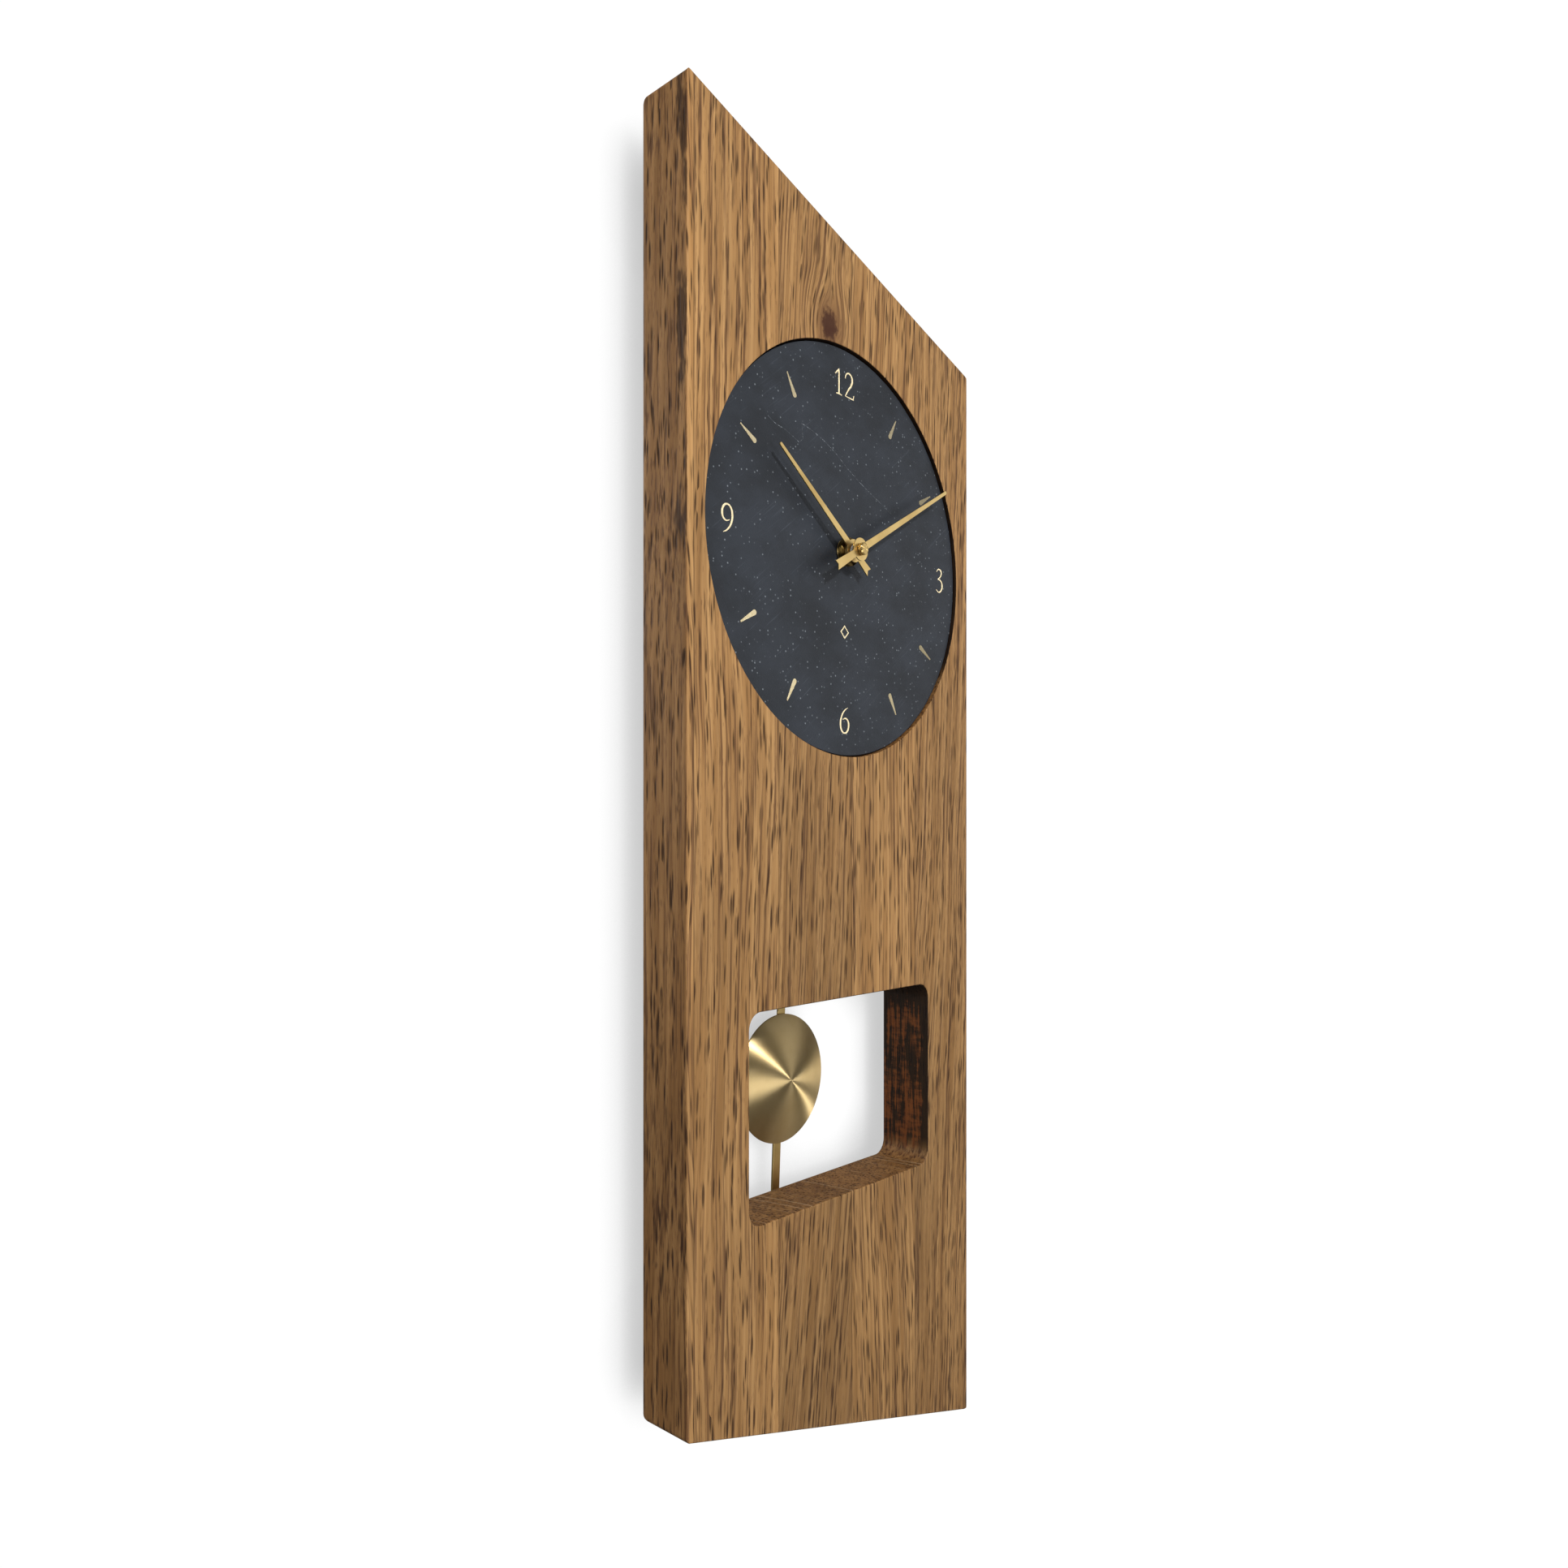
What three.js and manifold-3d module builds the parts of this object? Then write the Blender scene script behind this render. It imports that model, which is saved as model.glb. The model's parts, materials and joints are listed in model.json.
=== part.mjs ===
// A wall clock: an oak board with a slate dial, a quartz pendulum movement let into its back,
// and a brass pendulum that hangs behind the board and shows through a window.
//
// Millimetres. X runs to the right as seen from the front, Y from the front towards the wall, Z up.
// The origin is on the wall, at the screw that the clock hangs on.

import * as THREE from "three";
import { mergeVertices } from "three/addons/utils/BufferGeometryUtils.js";
import Module from "manifold-3d";

// General clearances
const gap = 0.3; // between pieces that touch
const runningGap = 0.1; // round a shaft that turns in a hole
const overrun = 1; // how far a cutting tool runs past a face
const overlap = 0.5; // how deep two joined shapes share material

// Board
const boardWidth = 200;
const sideHeight = 520; // of each upright edge
const edgeDrop = 60; // how far the top and bottom edges fall from left to right
const boardThickness = 26;
const upperLeftRadius = 2;
const upperRightRadius = 7;
const lowerRadius = 2.5;

// Dial
const dialDrop = 136; // from the middle of the top edge down to the hand shaft
const dialCheek = 10; // oak left beside the dial
const dialRecess = 1.5;
const dialGap = 0.5; // round the slate
const slateThickness = 4.7;

// Window
const windowCheek = 35.5; // oak left beside the window
const windowSill = 72; // above the lower left corner
const windowHeight = 86;
const windowRadius = 7;

// Movement case
const webThickness = 4; // oak between the dial pocket and the movement pocket
const caseAboveShaft = 29;
const caseBelowShaft = 77;
const caseRadius = 3;
const caseWall = 1.2;
const pocketClearance = 1;
const rubberThickness = 1;
const rubberMargin = 3; // how far the rubber washer reaches past the nut
const lipWall = 1; // of the cover's lip, which fits inside the case
const lipDepth = 1.2;

// Shafts and hands
const arborRadius = 1.5;
const tubeClearance = 0.25; // between the minute arbor and the hour tube
const tubeWall = 0.85;
const bushWall = 1.1;
const bushFlange = 0.8;
const flangeMargin = 2.5; // how far the bush's flange reaches past it
const bushProud = 3.5; // how far the bush stands out of the slate
const nutWall = 2;
const nutThickness = 2.1;
const washerThickness = 0.5;
const washerInset = 0.3; // how much smaller the washer is than the nut
const handThickness = 0.5;
const hubWall = 2.1; // of the ring round a hand's hole
const colletWall = 1; // of the short tube behind a hand
const minuteCollet = 1.7; // its length on the minute hand
const hourLift = 4.8; // from the slate to the back of the hour hand
const minuteLift = 8.4;
const minuteMargin = 10.5; // from the minute hand's tip to the edge of the dial pocket
const hourMargin = 29;
const minuteTail = 19.5;
const hourTail = 13.5;
const handRootWidth = 3.2;
const handTipWidth = 1.2;
const handTailWidth = 4.2;
const tailNotch = 1.2;
const capWall = 1.2;
const capLength = 1.9;
const capEdge = 0.3;
const shownHour = 10;
const shownMinute = 10;

// Wheels
const wheelThickness = 0.8;
const arborProud = 0.8; // how far the minute arbor stands out of the bearing plate
const layerPitch = 1.4;
const pinionOverhang = 0.2; // a pinion is this much wider than its wheel on each side
const pivotRadius = 0.7;
const motionModule = 0.825; // cannon pinion and motion wheel
const cannonTeeth = 8;
const motionTeeth = 24;
const motionPinionTeeth = 8;
const hourTeeth = 32;
const centreModule = 0.507;
const thirdModule = 0.44;
const secondsModule = 0.467;
const fifthModule = 0.387;
const trainPinionTeeth = 6;
const centreTeeth = 45;
const thirdTeeth = 48;
const secondsTeeth = 30;
const fifthTeeth = 36;
const layerGap = 0.4; // between the bush's flange and the first wheel
const plateGap = 0.6; // between the last wheel and the bearing plate
const plateThickness = 1;
const postRadius = 2;
const caseScrewRadius = 0.9;
const caseScrewHead = 1.7;
const screwHeadHeight = 1.2;
const plateScrewLength = 6;
const coverScrewLength = 8;
const coverScrewDrop = 36; // from the hand shaft down to the cover's screws
const coverClearance = 0.6;
const pivotSink = 0.8; // depth of a blind pivot hole
const knobRadius = 4;
const knobRidges = 12;
const knobRidge = 0.4;
const knobHeight = 2.2;
const knobPivot = 1.2; // how far the motion wheel's pivot stands out of the cover

// Motor, electronics and cell
const magnetRadius = 2.5; // of the rotor
const magnetAir = 0.6; // between the rotor's magnet and the stator
const coilRadius = 3;
const coilLength = 13;
const coreHeight = 1.2;
const coreThickness = 1;
const coreOverhang = 2.6; // how far the core reaches past the coil
const statorThickness = 0.8;
const circuitThickness = 1;
const circuitWidth = 40;
const circuitLift = 1.5; // from the case's floor to the circuit board
const driveCoilRadius = 6;
const driveCoilLength = 2.4;
const bobbinCore = 2;
const bobbinFlange = 0.5;
const bobbinSlack = 0.3; // between a winding and its bobbin's flange
const cellRadius = 7.25;
const cellLength = 50.5;
const cellNubRadius = 2.75;
const cellNubLength = 1.4;
const contactThickness = 0.5;
const contactRoom = 2.25; // at each end of the cell, for its contacts
const contactWidth = 8;
const contactDrop = 5; // from the cell's axis down to a contact's lower end
const contactRise = 4; // from the bay's top up to a contact's upper end
const contactClearance = 0.25; // between the contacts and the cover's lip
const cellClearance = 0.5; // between the cell and the case

// Pendulum
const pivotDrop = 30; // from the hand shaft down to the pendulum's pivot
const pivotPinRadius = 1.2;
const pivotPinHead = 1;
const leaderLength = 25;
const magnetShare = 0.6; // how far down the leader its magnet sits
const leaderWidth = 6;
const leaderThickness = 1.7;
const leaderClearance = 0.5; // between the case and the leader
const leaderMagnetRadius = 3;
const leaderMagnetWall = 1.3;
const stopPegRadius = 1; // of the pegs on the cover that the leader can't pass
const stopPegGap = 0.2;
const hookPegRadius = 1; // of the peg that the rod hooks on to
const hookPegInset = 2.2; // from the leader's end to that peg
const hookPegProud = 0.6;
const rodAbovePeg = 3;
const rodWidth = 4.9;
const rodThickness = 1;
const rodClearance = 4; // between the board and the rod
const rodBelowSill = 16;
const bobRadius = 29;
const bobDome = 5.9;
const bobRim = 0.8; // height of the plain rim
const bobSheet = 1;
const bobRise = 4.5; // of the bob's centre above the window's middle
const clipWidth = 9;
const clipThickness = 0.8;
const wallClearance = 5.9; // from the clip to the wall
const swingLimit = 8; // degrees each way from hanging straight down
const tilt = 2.95; // degrees, the swing at which the clock is shown

// Hanger and spacers
const hangerDrop = 50; // from the middle of the top edge down to the hanging screw
const hangerWidth = 18;
const hangerHeight = 44;
const hangerThickness = 2;
const hangerRise = 14; // from the hanging screw up to the plate's top
const keyholeRadius = 4.7;
const keyslotRadius = 2.3;
const keyholeDrop = 11;
const headCavityDepth = 8;
const headCavityMargin = 1.5;
const woodScrewRadius = 1.5;
const woodScrewHead = 2.8;
const woodScrewLength = 11;
const hangerScrewSpacing = 36;
const cornerRadius = 2; // of the plate, the bearing plate and their pockets
const spacerRadius = 9;
const spacerInset = 22; // from the board's edges to the middle of a spacer
const dowelRadius = 4;
const dowelLength = 8;
const feltThickness = 1.5;
const feltInset = 1;

// Radii about the hand shaft
const tubeBore = arborRadius + tubeClearance;
const tubeRadius = tubeBore + tubeWall;
const bushRadius = tubeRadius + gap + bushWall;
const nutRadius = bushRadius + gap + nutWall;
const handHub = tubeRadius + gap + hubWall;
const capRadius = arborRadius + capWall;

// Depths, measured from the board's front face towards the wall
const pocketRadius = boardWidth / 2 - dialCheek;
const slateBack = dialRecess + slateThickness;
const dialPocketDepth = slateBack + gap;
const movementFloor = dialPocketDepth + webThickness;
const caseFront = movementFloor + gap + rubberThickness + gap;
const caseInner = caseFront + caseWall;
const flangeFront = caseInner + gap;
const firstLayer = flangeFront + bushFlange + layerGap;
const lastLayerBack = firstLayer + 5 * layerPitch + wheelThickness;
const plateFront = lastLayerBack + plateGap;
const plateBack = plateFront + plateThickness;
const coverInner = plateBack + gap + screwHeadHeight + coverClearance;
const coverBack = coverInner + caseWall;
const cellDepth = caseInner + gap + cellRadius;
const cellBack = cellDepth + cellRadius;
const leaderFront = coverBack + leaderClearance;
const leaderBack = leaderFront + leaderThickness;
const rodFront = Math.max(
  leaderBack + gap,
  cellBack + gap + leaderClearance,
  boardThickness + rodClearance,
);
const clipBack = rodFront + rodThickness + gap + clipThickness;
const wallDepth = clipBack + wallClearance;

// Heights, measured from the hand shaft
const hangerHeightAboveShaft = dialDrop - hangerDrop;
const lowerLeft = dialDrop + edgeDrop / 2 - sideHeight;
const windowBottom = lowerLeft + windowSill;
const windowTop = windowBottom + windowHeight;
const bobHeight = (windowBottom + windowTop) / 2 + bobRise;
const tiltAngle = THREE.MathUtils.degToRad(tilt);
const bobDistance = (-pivotDrop - bobHeight) / Math.cos(tiltAngle);
const rodEnd = -pivotDrop - windowBottom + rodBelowSill;

const wasm = await Module();
wasm.setup();

// Solids

function solidOf(geometry) {
  const bare = geometry.clone();
  bare.deleteAttribute("normal");
  bare.deleteAttribute("uv");
  const merged = mergeVertices(bare, 1e-4);
  return new wasm.Manifold(
    new wasm.Mesh({
      numProp: 3,
      vertProperties: merged.attributes.position.array,
      triVerts: new Uint32Array(merged.index.array),
    }),
  );
}

function geometryOf(solid) {
  const mesh = solid.getMesh();
  const geometry = new THREE.BufferGeometry();
  geometry.setAttribute("position", new THREE.BufferAttribute(mesh.vertProperties, 3));
  geometry.setIndex(new THREE.BufferAttribute(mesh.triVerts, 1));
  geometry.computeVertexNormals();
  return geometry;
}

function join(first, ...others) {
  return geometryOf(others.reduce((whole, piece) => whole.add(solidOf(piece)), solidOf(first)));
}

function cut(first, ...tools) {
  return geometryOf(tools.reduce((whole, tool) => whole.subtract(solidOf(tool)), solidOf(first)));
}

// An outline in X and Z, extruded from one depth to another.
function slab(outline, front, back, curveSegments = 2) {
  const geometry = new THREE.ExtrudeGeometry(outline, {
    depth: back - front,
    bevelEnabled: false,
    curveSegments,
  });
  geometry.rotateX(Math.PI / 2);
  geometry.translate(0, back, 0);
  return geometry;
}

function disc(radius, front, back, segments = 16) {
  const geometry = new THREE.CylinderGeometry(radius, radius, back - front, segments);
  geometry.translate(0, (front + back) / 2, 0);
  return geometry;
}

// A ring from its outline of radius and depth, given once round.
function turned(profile, segments = 16) {
  const points = profile.map(([radius, depth]) => new THREE.Vector2(radius, depth));
  return new THREE.LatheGeometry(points, segments);
}

function ring(inner, outer, front, back, segments = 20) {
  return turned([[inner, front], [outer, front], [outer, back], [inner, back], [inner, front]], segments);
}

function box(left, right, front, back, bottom, top) {
  const geometry = new THREE.BoxGeometry(right - left, back - front, top - bottom);
  geometry.translate((left + right) / 2, (front + back) / 2, (bottom + top) / 2);
  return geometry;
}

function at(geometry, x, z) {
  return geometry.translate(x, 0, z);
}

// A convex outline through corners of [x, z, radius], given anticlockwise.
function roundedOutline(corners) {
  const outline = new THREE.Shape();
  corners.forEach(([x, z, radius], index) => {
    const corner = new THREE.Vector2(x, z);
    const before = corners[(index + corners.length - 1) % corners.length];
    const after = corners[(index + 1) % corners.length];
    const toBefore = new THREE.Vector2(before[0] - x, before[1] - z).normalize();
    const toAfter = new THREE.Vector2(after[0] - x, after[1] - z).normalize();
    const halfAngle = Math.acos(toBefore.dot(toAfter)) / 2;
    const inward = toBefore.clone().add(toAfter).normalize();
    const centre = corner.clone().addScaledVector(inward, radius / Math.sin(halfAngle));
    const reach = radius / Math.tan(halfAngle);
    const start = corner.clone().addScaledVector(toBefore, reach).sub(centre);
    const end = corner.clone().addScaledVector(toAfter, reach).sub(centre);
    outline.absarc(centre.x, centre.y, radius, start.angle(), end.angle(), false);
  });
  return outline;
}

function roundedBox(left, right, bottom, top, radius) {
  return roundedOutline([
    [left, bottom, radius],
    [right, bottom, radius],
    [right, top, radius],
    [left, top, radius],
  ]);
}

// A toothed wheel's outline with the middle of one tooth at the given angle.
function gearOutline(teeth, module, toothAngle) {
  const pitchRadius = (teeth * module) / 2;
  const pitchStep = (2 * Math.PI) / teeth;
  const outline = new THREE.Shape();
  const corners = [
    [pitchRadius - 1.15 * module, -0.27],
    [pitchRadius + 0.75 * module, -0.11],
    [pitchRadius + 0.75 * module, 0.11],
    [pitchRadius - 1.15 * module, 0.27],
  ];
  for (let tooth = 0; tooth < teeth; tooth += 1) {
    corners.forEach(([radius, share], index) => {
      const angle = toothAngle + (tooth + share) * pitchStep;
      const x = radius * Math.cos(angle);
      const z = radius * Math.sin(angle);
      if (tooth === 0 && index === 0) outline.moveTo(x, z);
      else outline.lineTo(x, z);
    });
  }
  return outline;
}

function bore(outline, radius, steps = 20) {
  const points = Array.from({ length: steps }, (_, index) => {
    const angle = (-2 * Math.PI * index) / steps;
    return new THREE.Vector2(radius * Math.cos(angle), radius * Math.sin(angle));
  });
  outline.holes.push(new THREE.Path(points));
  return outline;
}

// Group and pieces

const clock = new THREE.Group();
const fromShaft = new THREE.Group(); // on the hand shaft, at the board's front face
fromShaft.position.set(0, -wallDepth, -hangerHeightAboveShaft);
clock.add(fromShaft);

function group(x = 0, z = 0, parent = fromShaft) {
  const made = new THREE.Group();
  made.position.set(x, 0, z);
  parent.add(made);
  return made;
}

const finishes = {
  oak: { color: 0xae8259, roughness: 0.62, metalness: 0 },
  slate: { color: 0x2b3038, roughness: 0.72, metalness: 0 },
  brass: { color: 0xcfae6c, roughness: 0.34, metalness: 1 },
  steel: { color: 0xb9bcc0, roughness: 0.35, metalness: 1 },
  blackPlastic: { color: 0x1c1c1e, roughness: 0.5, metalness: 0 },
  whitePlastic: { color: 0xe8e6df, roughness: 0.45, metalness: 0 },
  rubber: { color: 0x151515, roughness: 0.85, metalness: 0 },
  copper: { color: 0xb4633a, roughness: 0.4, metalness: 1 },
  circuit: { color: 0x1f5a37, roughness: 0.5, metalness: 0 },
  cell: { color: 0x4a4f55, roughness: 0.4, metalness: 0.2 },
  felt: { color: 0x3a3530, roughness: 0.95, metalness: 0 },
};

function add(name, geometry, finish, parent = fromShaft) {
  const mesh = new THREE.Mesh(geometry, new THREE.MeshStandardMaterial(finishes[finish]));
  mesh.name = name;
  parent.add(mesh);
  return mesh;
}

// Height of the sloping top edge above the hand shaft, at a distance to the right of it.
function topEdge(x) {
  return dialDrop - (edgeDrop * x) / boardWidth;
}

const halfBoard = boardWidth / 2;
const halfCase = cellLength / 2 + contactRoom + gap + caseWall;
const hangerTop = hangerHeightAboveShaft + hangerRise;
const hangerBottom = hangerTop - hangerHeight;
const hangerMiddle = (hangerTop + hangerBottom) / 2;
const hangerScrewHeights = [-1, 1].map((side) => hangerMiddle + (side * hangerScrewSpacing) / 2);
const hangerFront = boardThickness - hangerThickness;
const spacerPlaces = [-1, 1].flatMap((side) => {
  const x = side * (halfBoard - spacerInset);
  return [[x, topEdge(x) - spacerInset], [x, topEdge(x) - sideHeight + spacerInset]];
});

function oakCase() {
  const outline = roundedOutline([
    [-halfBoard, lowerLeft, lowerRadius],
    [halfBoard, lowerLeft - edgeDrop, lowerRadius],
    [halfBoard, lowerLeft - edgeDrop + sideHeight, upperRightRadius],
    [-halfBoard, lowerLeft + sideHeight, upperLeftRadius],
  ]);
  const windowEdge = halfBoard - windowCheek;
  const opening = roundedBox(-windowEdge, windowEdge, windowBottom, windowTop, windowRadius);
  const casePocket = roundedBox(
    -halfCase - pocketClearance,
    halfCase + pocketClearance,
    -caseBelowShaft - pocketClearance,
    caseAboveShaft + pocketClearance,
    caseRadius + pocketClearance,
  );
  const hangerPocket = roundedBox(
    -hangerWidth / 2 - gap,
    hangerWidth / 2 + gap,
    hangerBottom - gap,
    hangerTop + gap,
    cornerRadius,
  );
  const headCavity = roundedBox(
    -keyholeRadius - headCavityMargin,
    keyholeRadius + headCavityMargin,
    hangerHeightAboveShaft - keyholeDrop - keyholeRadius - headCavityMargin,
    hangerHeightAboveShaft + keyholeRadius + headCavityMargin,
    2 * headCavityMargin,
  );
  const past = boardThickness + overrun;
  const pocketFront = hangerFront - gap;
  const screwEnd = boardThickness - woodScrewLength - gap;
  return cut(
    slab(outline, 0, boardThickness),
    slab(opening, -overrun, past),
    disc(pocketRadius, -overrun, dialPocketDepth, 60),
    disc(bushRadius + gap, dialPocketDepth - overrun, movementFloor + overrun),
    slab(casePocket, movementFloor, past),
    slab(hangerPocket, pocketFront, past),
    slab(headCavity, pocketFront - headCavityDepth, past),
    ...hangerScrewHeights.map((z) => at(disc(woodScrewRadius + gap, screwEnd, past, 12), 0, z)),
    ...spacerPlaces.map(([x, z]) =>
      at(disc(dowelRadius + gap, boardThickness - dowelLength - gap, past, 16), x, z),
    ),
  );
}

add("oak_case", oakCase(), "oak");

// Dial and the fittings that clamp it
const slateFront = dialRecess;
const washerBack = slateFront - gap;
const nutBack = washerBack - washerThickness - gap;
const bushFront = slateFront - bushProud;
add("slate_dial", ring(bushRadius + gap, pocketRadius - dialGap, slateFront, slateBack, 60), "slate");
add(
  "dial_washer",
  ring(bushRadius + gap, nutRadius - washerInset, washerBack - washerThickness, washerBack),
  "brass",
);
add("centre_nut", ring(bushRadius + gap, nutRadius, nutBack - nutThickness, nutBack), "brass");
add(
  "rubber_washer",
  ring(bushRadius + gap, nutRadius + rubberMargin, movementFloor + gap, movementFloor + gap + rubberThickness),
  "rubber",
);

// Places of the wheels, seen from the front
const motionDistance = (motionModule * (cannonTeeth + motionTeeth)) / 2;
const hourModule = (2 * motionDistance) / (hourTeeth + motionPinionTeeth);
const centreDistance = (centreModule * (centreTeeth + trainPinionTeeth)) / 2;
const thirdDistance = (thirdModule * (thirdTeeth + trainPinionTeeth)) / 2;
const secondsDistance = (secondsModule * (secondsTeeth + trainPinionTeeth)) / 2;
const fifthDistance = (fifthModule * (fifthTeeth + trainPinionTeeth)) / 2;
const degrees = THREE.MathUtils.degToRad;

function stepFrom([x, z], distance, angle) {
  return [x + distance * Math.cos(angle), z + distance * Math.sin(angle)];
}

const motionDirection = degrees(45);
const thirdDirection = degrees(135);
const secondsDirection = degrees(240);
const fifthDirection = degrees(270);
const rotorDirection = degrees(-50);
const shaft = [0, 0];
const motionPlace = stepFrom(shaft, motionDistance, motionDirection);
const thirdPlace = stepFrom(shaft, centreDistance, thirdDirection);
const secondsPlace = stepFrom(thirdPlace, thirdDistance, secondsDirection);
const fifthPlace = stepFrom(secondsPlace, secondsDistance, fifthDirection);
const rotorPlace = stepFrom(fifthPlace, fifthDistance, rotorDirection);
const trainPlaces = [motionPlace, thirdPlace, secondsPlace, fifthPlace, rotorPlace];

// The follower's tooth angle that puts a gap opposite the driver's tooth.
function meshAngle(direction, teeth) {
  return direction + Math.PI + Math.PI / teeth;
}

function layerFront(layer) {
  return firstLayer + layer * layerPitch;
}

function gear(teeth, module, toothAngle, layer, boreRadius = 0, overhang = 0) {
  const outline = gearOutline(teeth, module, toothAngle);
  if (boreRadius > 0) bore(outline, boreRadius);
  const front = layerFront(layer) - overhang;
  return slab(outline, front, front + wheelThickness + 2 * overhang);
}

// Movement case
const plateInset = 1.5; // from the case's wall to the bearing plate's edge
const postInset = 2.6; // from that edge to a post
const plateEdge = halfCase - caseWall - plateInset;
const plateTop = caseAboveShaft - caseWall - plateInset;
const plateBottom = -23.5;
const platePosts = [
  [-plateEdge + postInset, plateTop - 2.7],
  [plateEdge - postInset, plateTop - 2.7],
  [plateEdge - postInset, -9],
];
const coverPostOffset = halfCase - caseWall - lipWall - 2 * gap - postRadius;
const coverScrewPlaces = [-1, 1].map((side) => [side * coverPostOffset, -coverScrewDrop]);
const cellCentre = -caseBelowShaft + caseWall + gap + cellRadius + cellClearance;
const cellBayTop = cellCentre + cellRadius + gap + 0.4;
const stopPegDrop = leaderLength * magnetShare;
const ledgeBack = coverInner - gap;

function movementHousing() {
  const outer = roundedBox(-halfCase, halfCase, -caseBelowShaft, caseAboveShaft, caseRadius);
  const inner = roundedBox(
    -halfCase + caseWall,
    halfCase - caseWall,
    -caseBelowShaft + caseWall,
    caseAboveShaft - caseWall,
    caseRadius - caseWall,
  );
  const shell = cut(
    slab(outer, caseFront, ledgeBack),
    slab(inner, caseInner, ledgeBack + overrun),
    disc(bushRadius + gap, caseFront - overrun, caseInner + overrun),
  );
  const posts = join(
    shell,
    ...platePosts.map(([x, z]) => at(disc(postRadius, caseInner - overlap, plateFront - gap, 10), x, z)),
    ...coverScrewPlaces.map(([x, z]) => at(disc(postRadius, caseInner - overlap, coverInner - gap, 10), x, z)),
  );
  const tapped = [...platePosts, ...coverScrewPlaces];
  const tappedFrom = plateFront - plateScrewLength - overrun;
  return cut(
    posts,
    ...trainPlaces.map(([x, z]) =>
      at(disc(pivotRadius + runningGap, caseInner - pivotSink, caseInner + overrun, 10), x, z),
    ),
    ...tapped.map(([x, z]) => at(disc(caseScrewRadius + gap, tappedFrom, coverInner, 10), x, z)),
  );
}

function rearCover() {
  const outer = roundedBox(-halfCase, halfCase, -caseBelowShaft, caseAboveShaft, caseRadius);
  const lipEdge = halfCase - caseWall - gap;
  const lipOuter = roundedBox(
    -lipEdge,
    lipEdge,
    -caseBelowShaft + caseWall + gap,
    caseAboveShaft - caseWall - gap,
    caseRadius - caseWall,
  );
  const lipInner = roundedBox(
    -lipEdge + lipWall,
    lipEdge - lipWall,
    -caseBelowShaft + caseWall + gap + lipWall,
    caseAboveShaft - caseWall - gap - lipWall,
    caseRadius - caseWall - lipWall + 0.2,
  );
  const before = coverInner - lipDepth - overrun;
  const behind = coverBack + overrun;
  const lip = cut(
    slab(lipOuter, coverInner - lipDepth, coverInner + overlap),
    slab(lipInner, before, coverInner + overrun),
  );
  const bay = box(
    -lipEdge + 0.2,
    lipEdge - 0.2,
    before,
    behind,
    cellCentre - cellRadius - gap,
    cellBayTop,
  );
  const limit = degrees(swingLimit);
  const pegOffset =
    leaderMagnetRadius + leaderMagnetWall + stopPegGap + stopPegRadius + stopPegDrop * Math.sin(limit);
  const body = cut(
    join(slab(outer, coverInner, coverBack), lip),
    bay,
    at(disc(pivotRadius + gap, before, behind, 12), ...motionPlace),
    at(disc(pivotPinRadius + gap, before, behind, 12), 0, -pivotDrop),
    ...coverScrewPlaces.map(([x, z]) => at(disc(caseScrewRadius + gap, before, behind, 12), x, z)),
  );
  return join(
    body,
    ...[-1, 1].map((side) =>
      at(disc(stopPegRadius, coverBack - overlap, leaderBack, 12), side * pegOffset, -pivotDrop - stopPegDrop),
    ),
  );
}

add("movement_housing", movementHousing(), "blackPlastic");
add("rear_cover", rearCover(), "blackPlastic");
add(
  "centre_bush",
  turned(
    [
      [tubeRadius + gap, bushFront],
      [bushRadius, bushFront],
      [bushRadius, flangeFront],
      [bushRadius + flangeMargin, flangeFront],
      [bushRadius + flangeMargin, flangeFront + bushFlange],
      [tubeRadius + gap, flangeFront + bushFlange],
      [tubeRadius + gap, bushFront],
    ],
    20,
  ),
  "brass",
);

function trainPlate() {
  const outline = roundedBox(-plateEdge, plateEdge, plateBottom, plateTop, cornerRadius);
  const before = plateFront - overrun;
  const behind = plateBack + overrun;
  return cut(
    slab(outline, plateFront, plateBack),
    disc(arborRadius + runningGap, before, behind),
    ...trainPlaces.map(([x, z]) => at(disc(pivotRadius + runningGap, before, behind, 10), x, z)),
    ...platePosts.map(([x, z]) => at(disc(caseScrewRadius + gap, before, behind, 10), x, z)),
  );
}

add("train_plate", trainPlate(), "whitePlastic");

// A pan-head screw whose head rests on the given depth.
function caseScrew(seat, length) {
  return turned(
    [
      [0, seat - length],
      [caseScrewRadius, seat - length],
      [caseScrewRadius, seat],
      [caseScrewHead, seat],
      [caseScrewHead, seat + screwHeadHeight],
      [0, seat + screwHeadHeight],
    ],
    12,
  );
}

platePosts.forEach(([x, z], index) => {
  add(`plate_screw_${index + 1}`, at(caseScrew(plateBack + gap, plateScrewLength), x, z), "steel");
});
coverScrewPlaces.forEach(([x, z], index) => {
  add(`cover_screw_${index + 1}`, at(caseScrew(coverBack + gap, coverScrewLength), x, z), "steel");
});

// Motion work: the minute arbor turns the motion wheel, which turns the hour wheel.
const minuteBack = slateFront - minuteLift;
const minuteFront = minuteBack - handThickness;
const hourBack = slateFront - hourLift;
const hourFront = hourBack - handThickness;
const minuteAngle = degrees(shownMinute * 6);
const hourAngle = degrees(((shownHour % 12) + shownMinute / 60) * 30);

add(
  "minute_arbor",
  join(
    disc(arborRadius, minuteFront, layerFront(1) + wheelThickness / 2),
    gear(cannonTeeth, motionModule, motionDirection, 1, 0, pinionOverhang),
    disc(arborRadius, layerFront(1) + wheelThickness / 2, plateBack + arborProud),
  ),
  "steel",
);
add(
  "hour_wheel",
  join(
    gear(hourTeeth, hourModule, motionDirection, 0, tubeBore),
    ring(tubeBore, tubeRadius, hourFront, layerFront(0) + wheelThickness),
  ),
  "whitePlastic",
);

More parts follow.
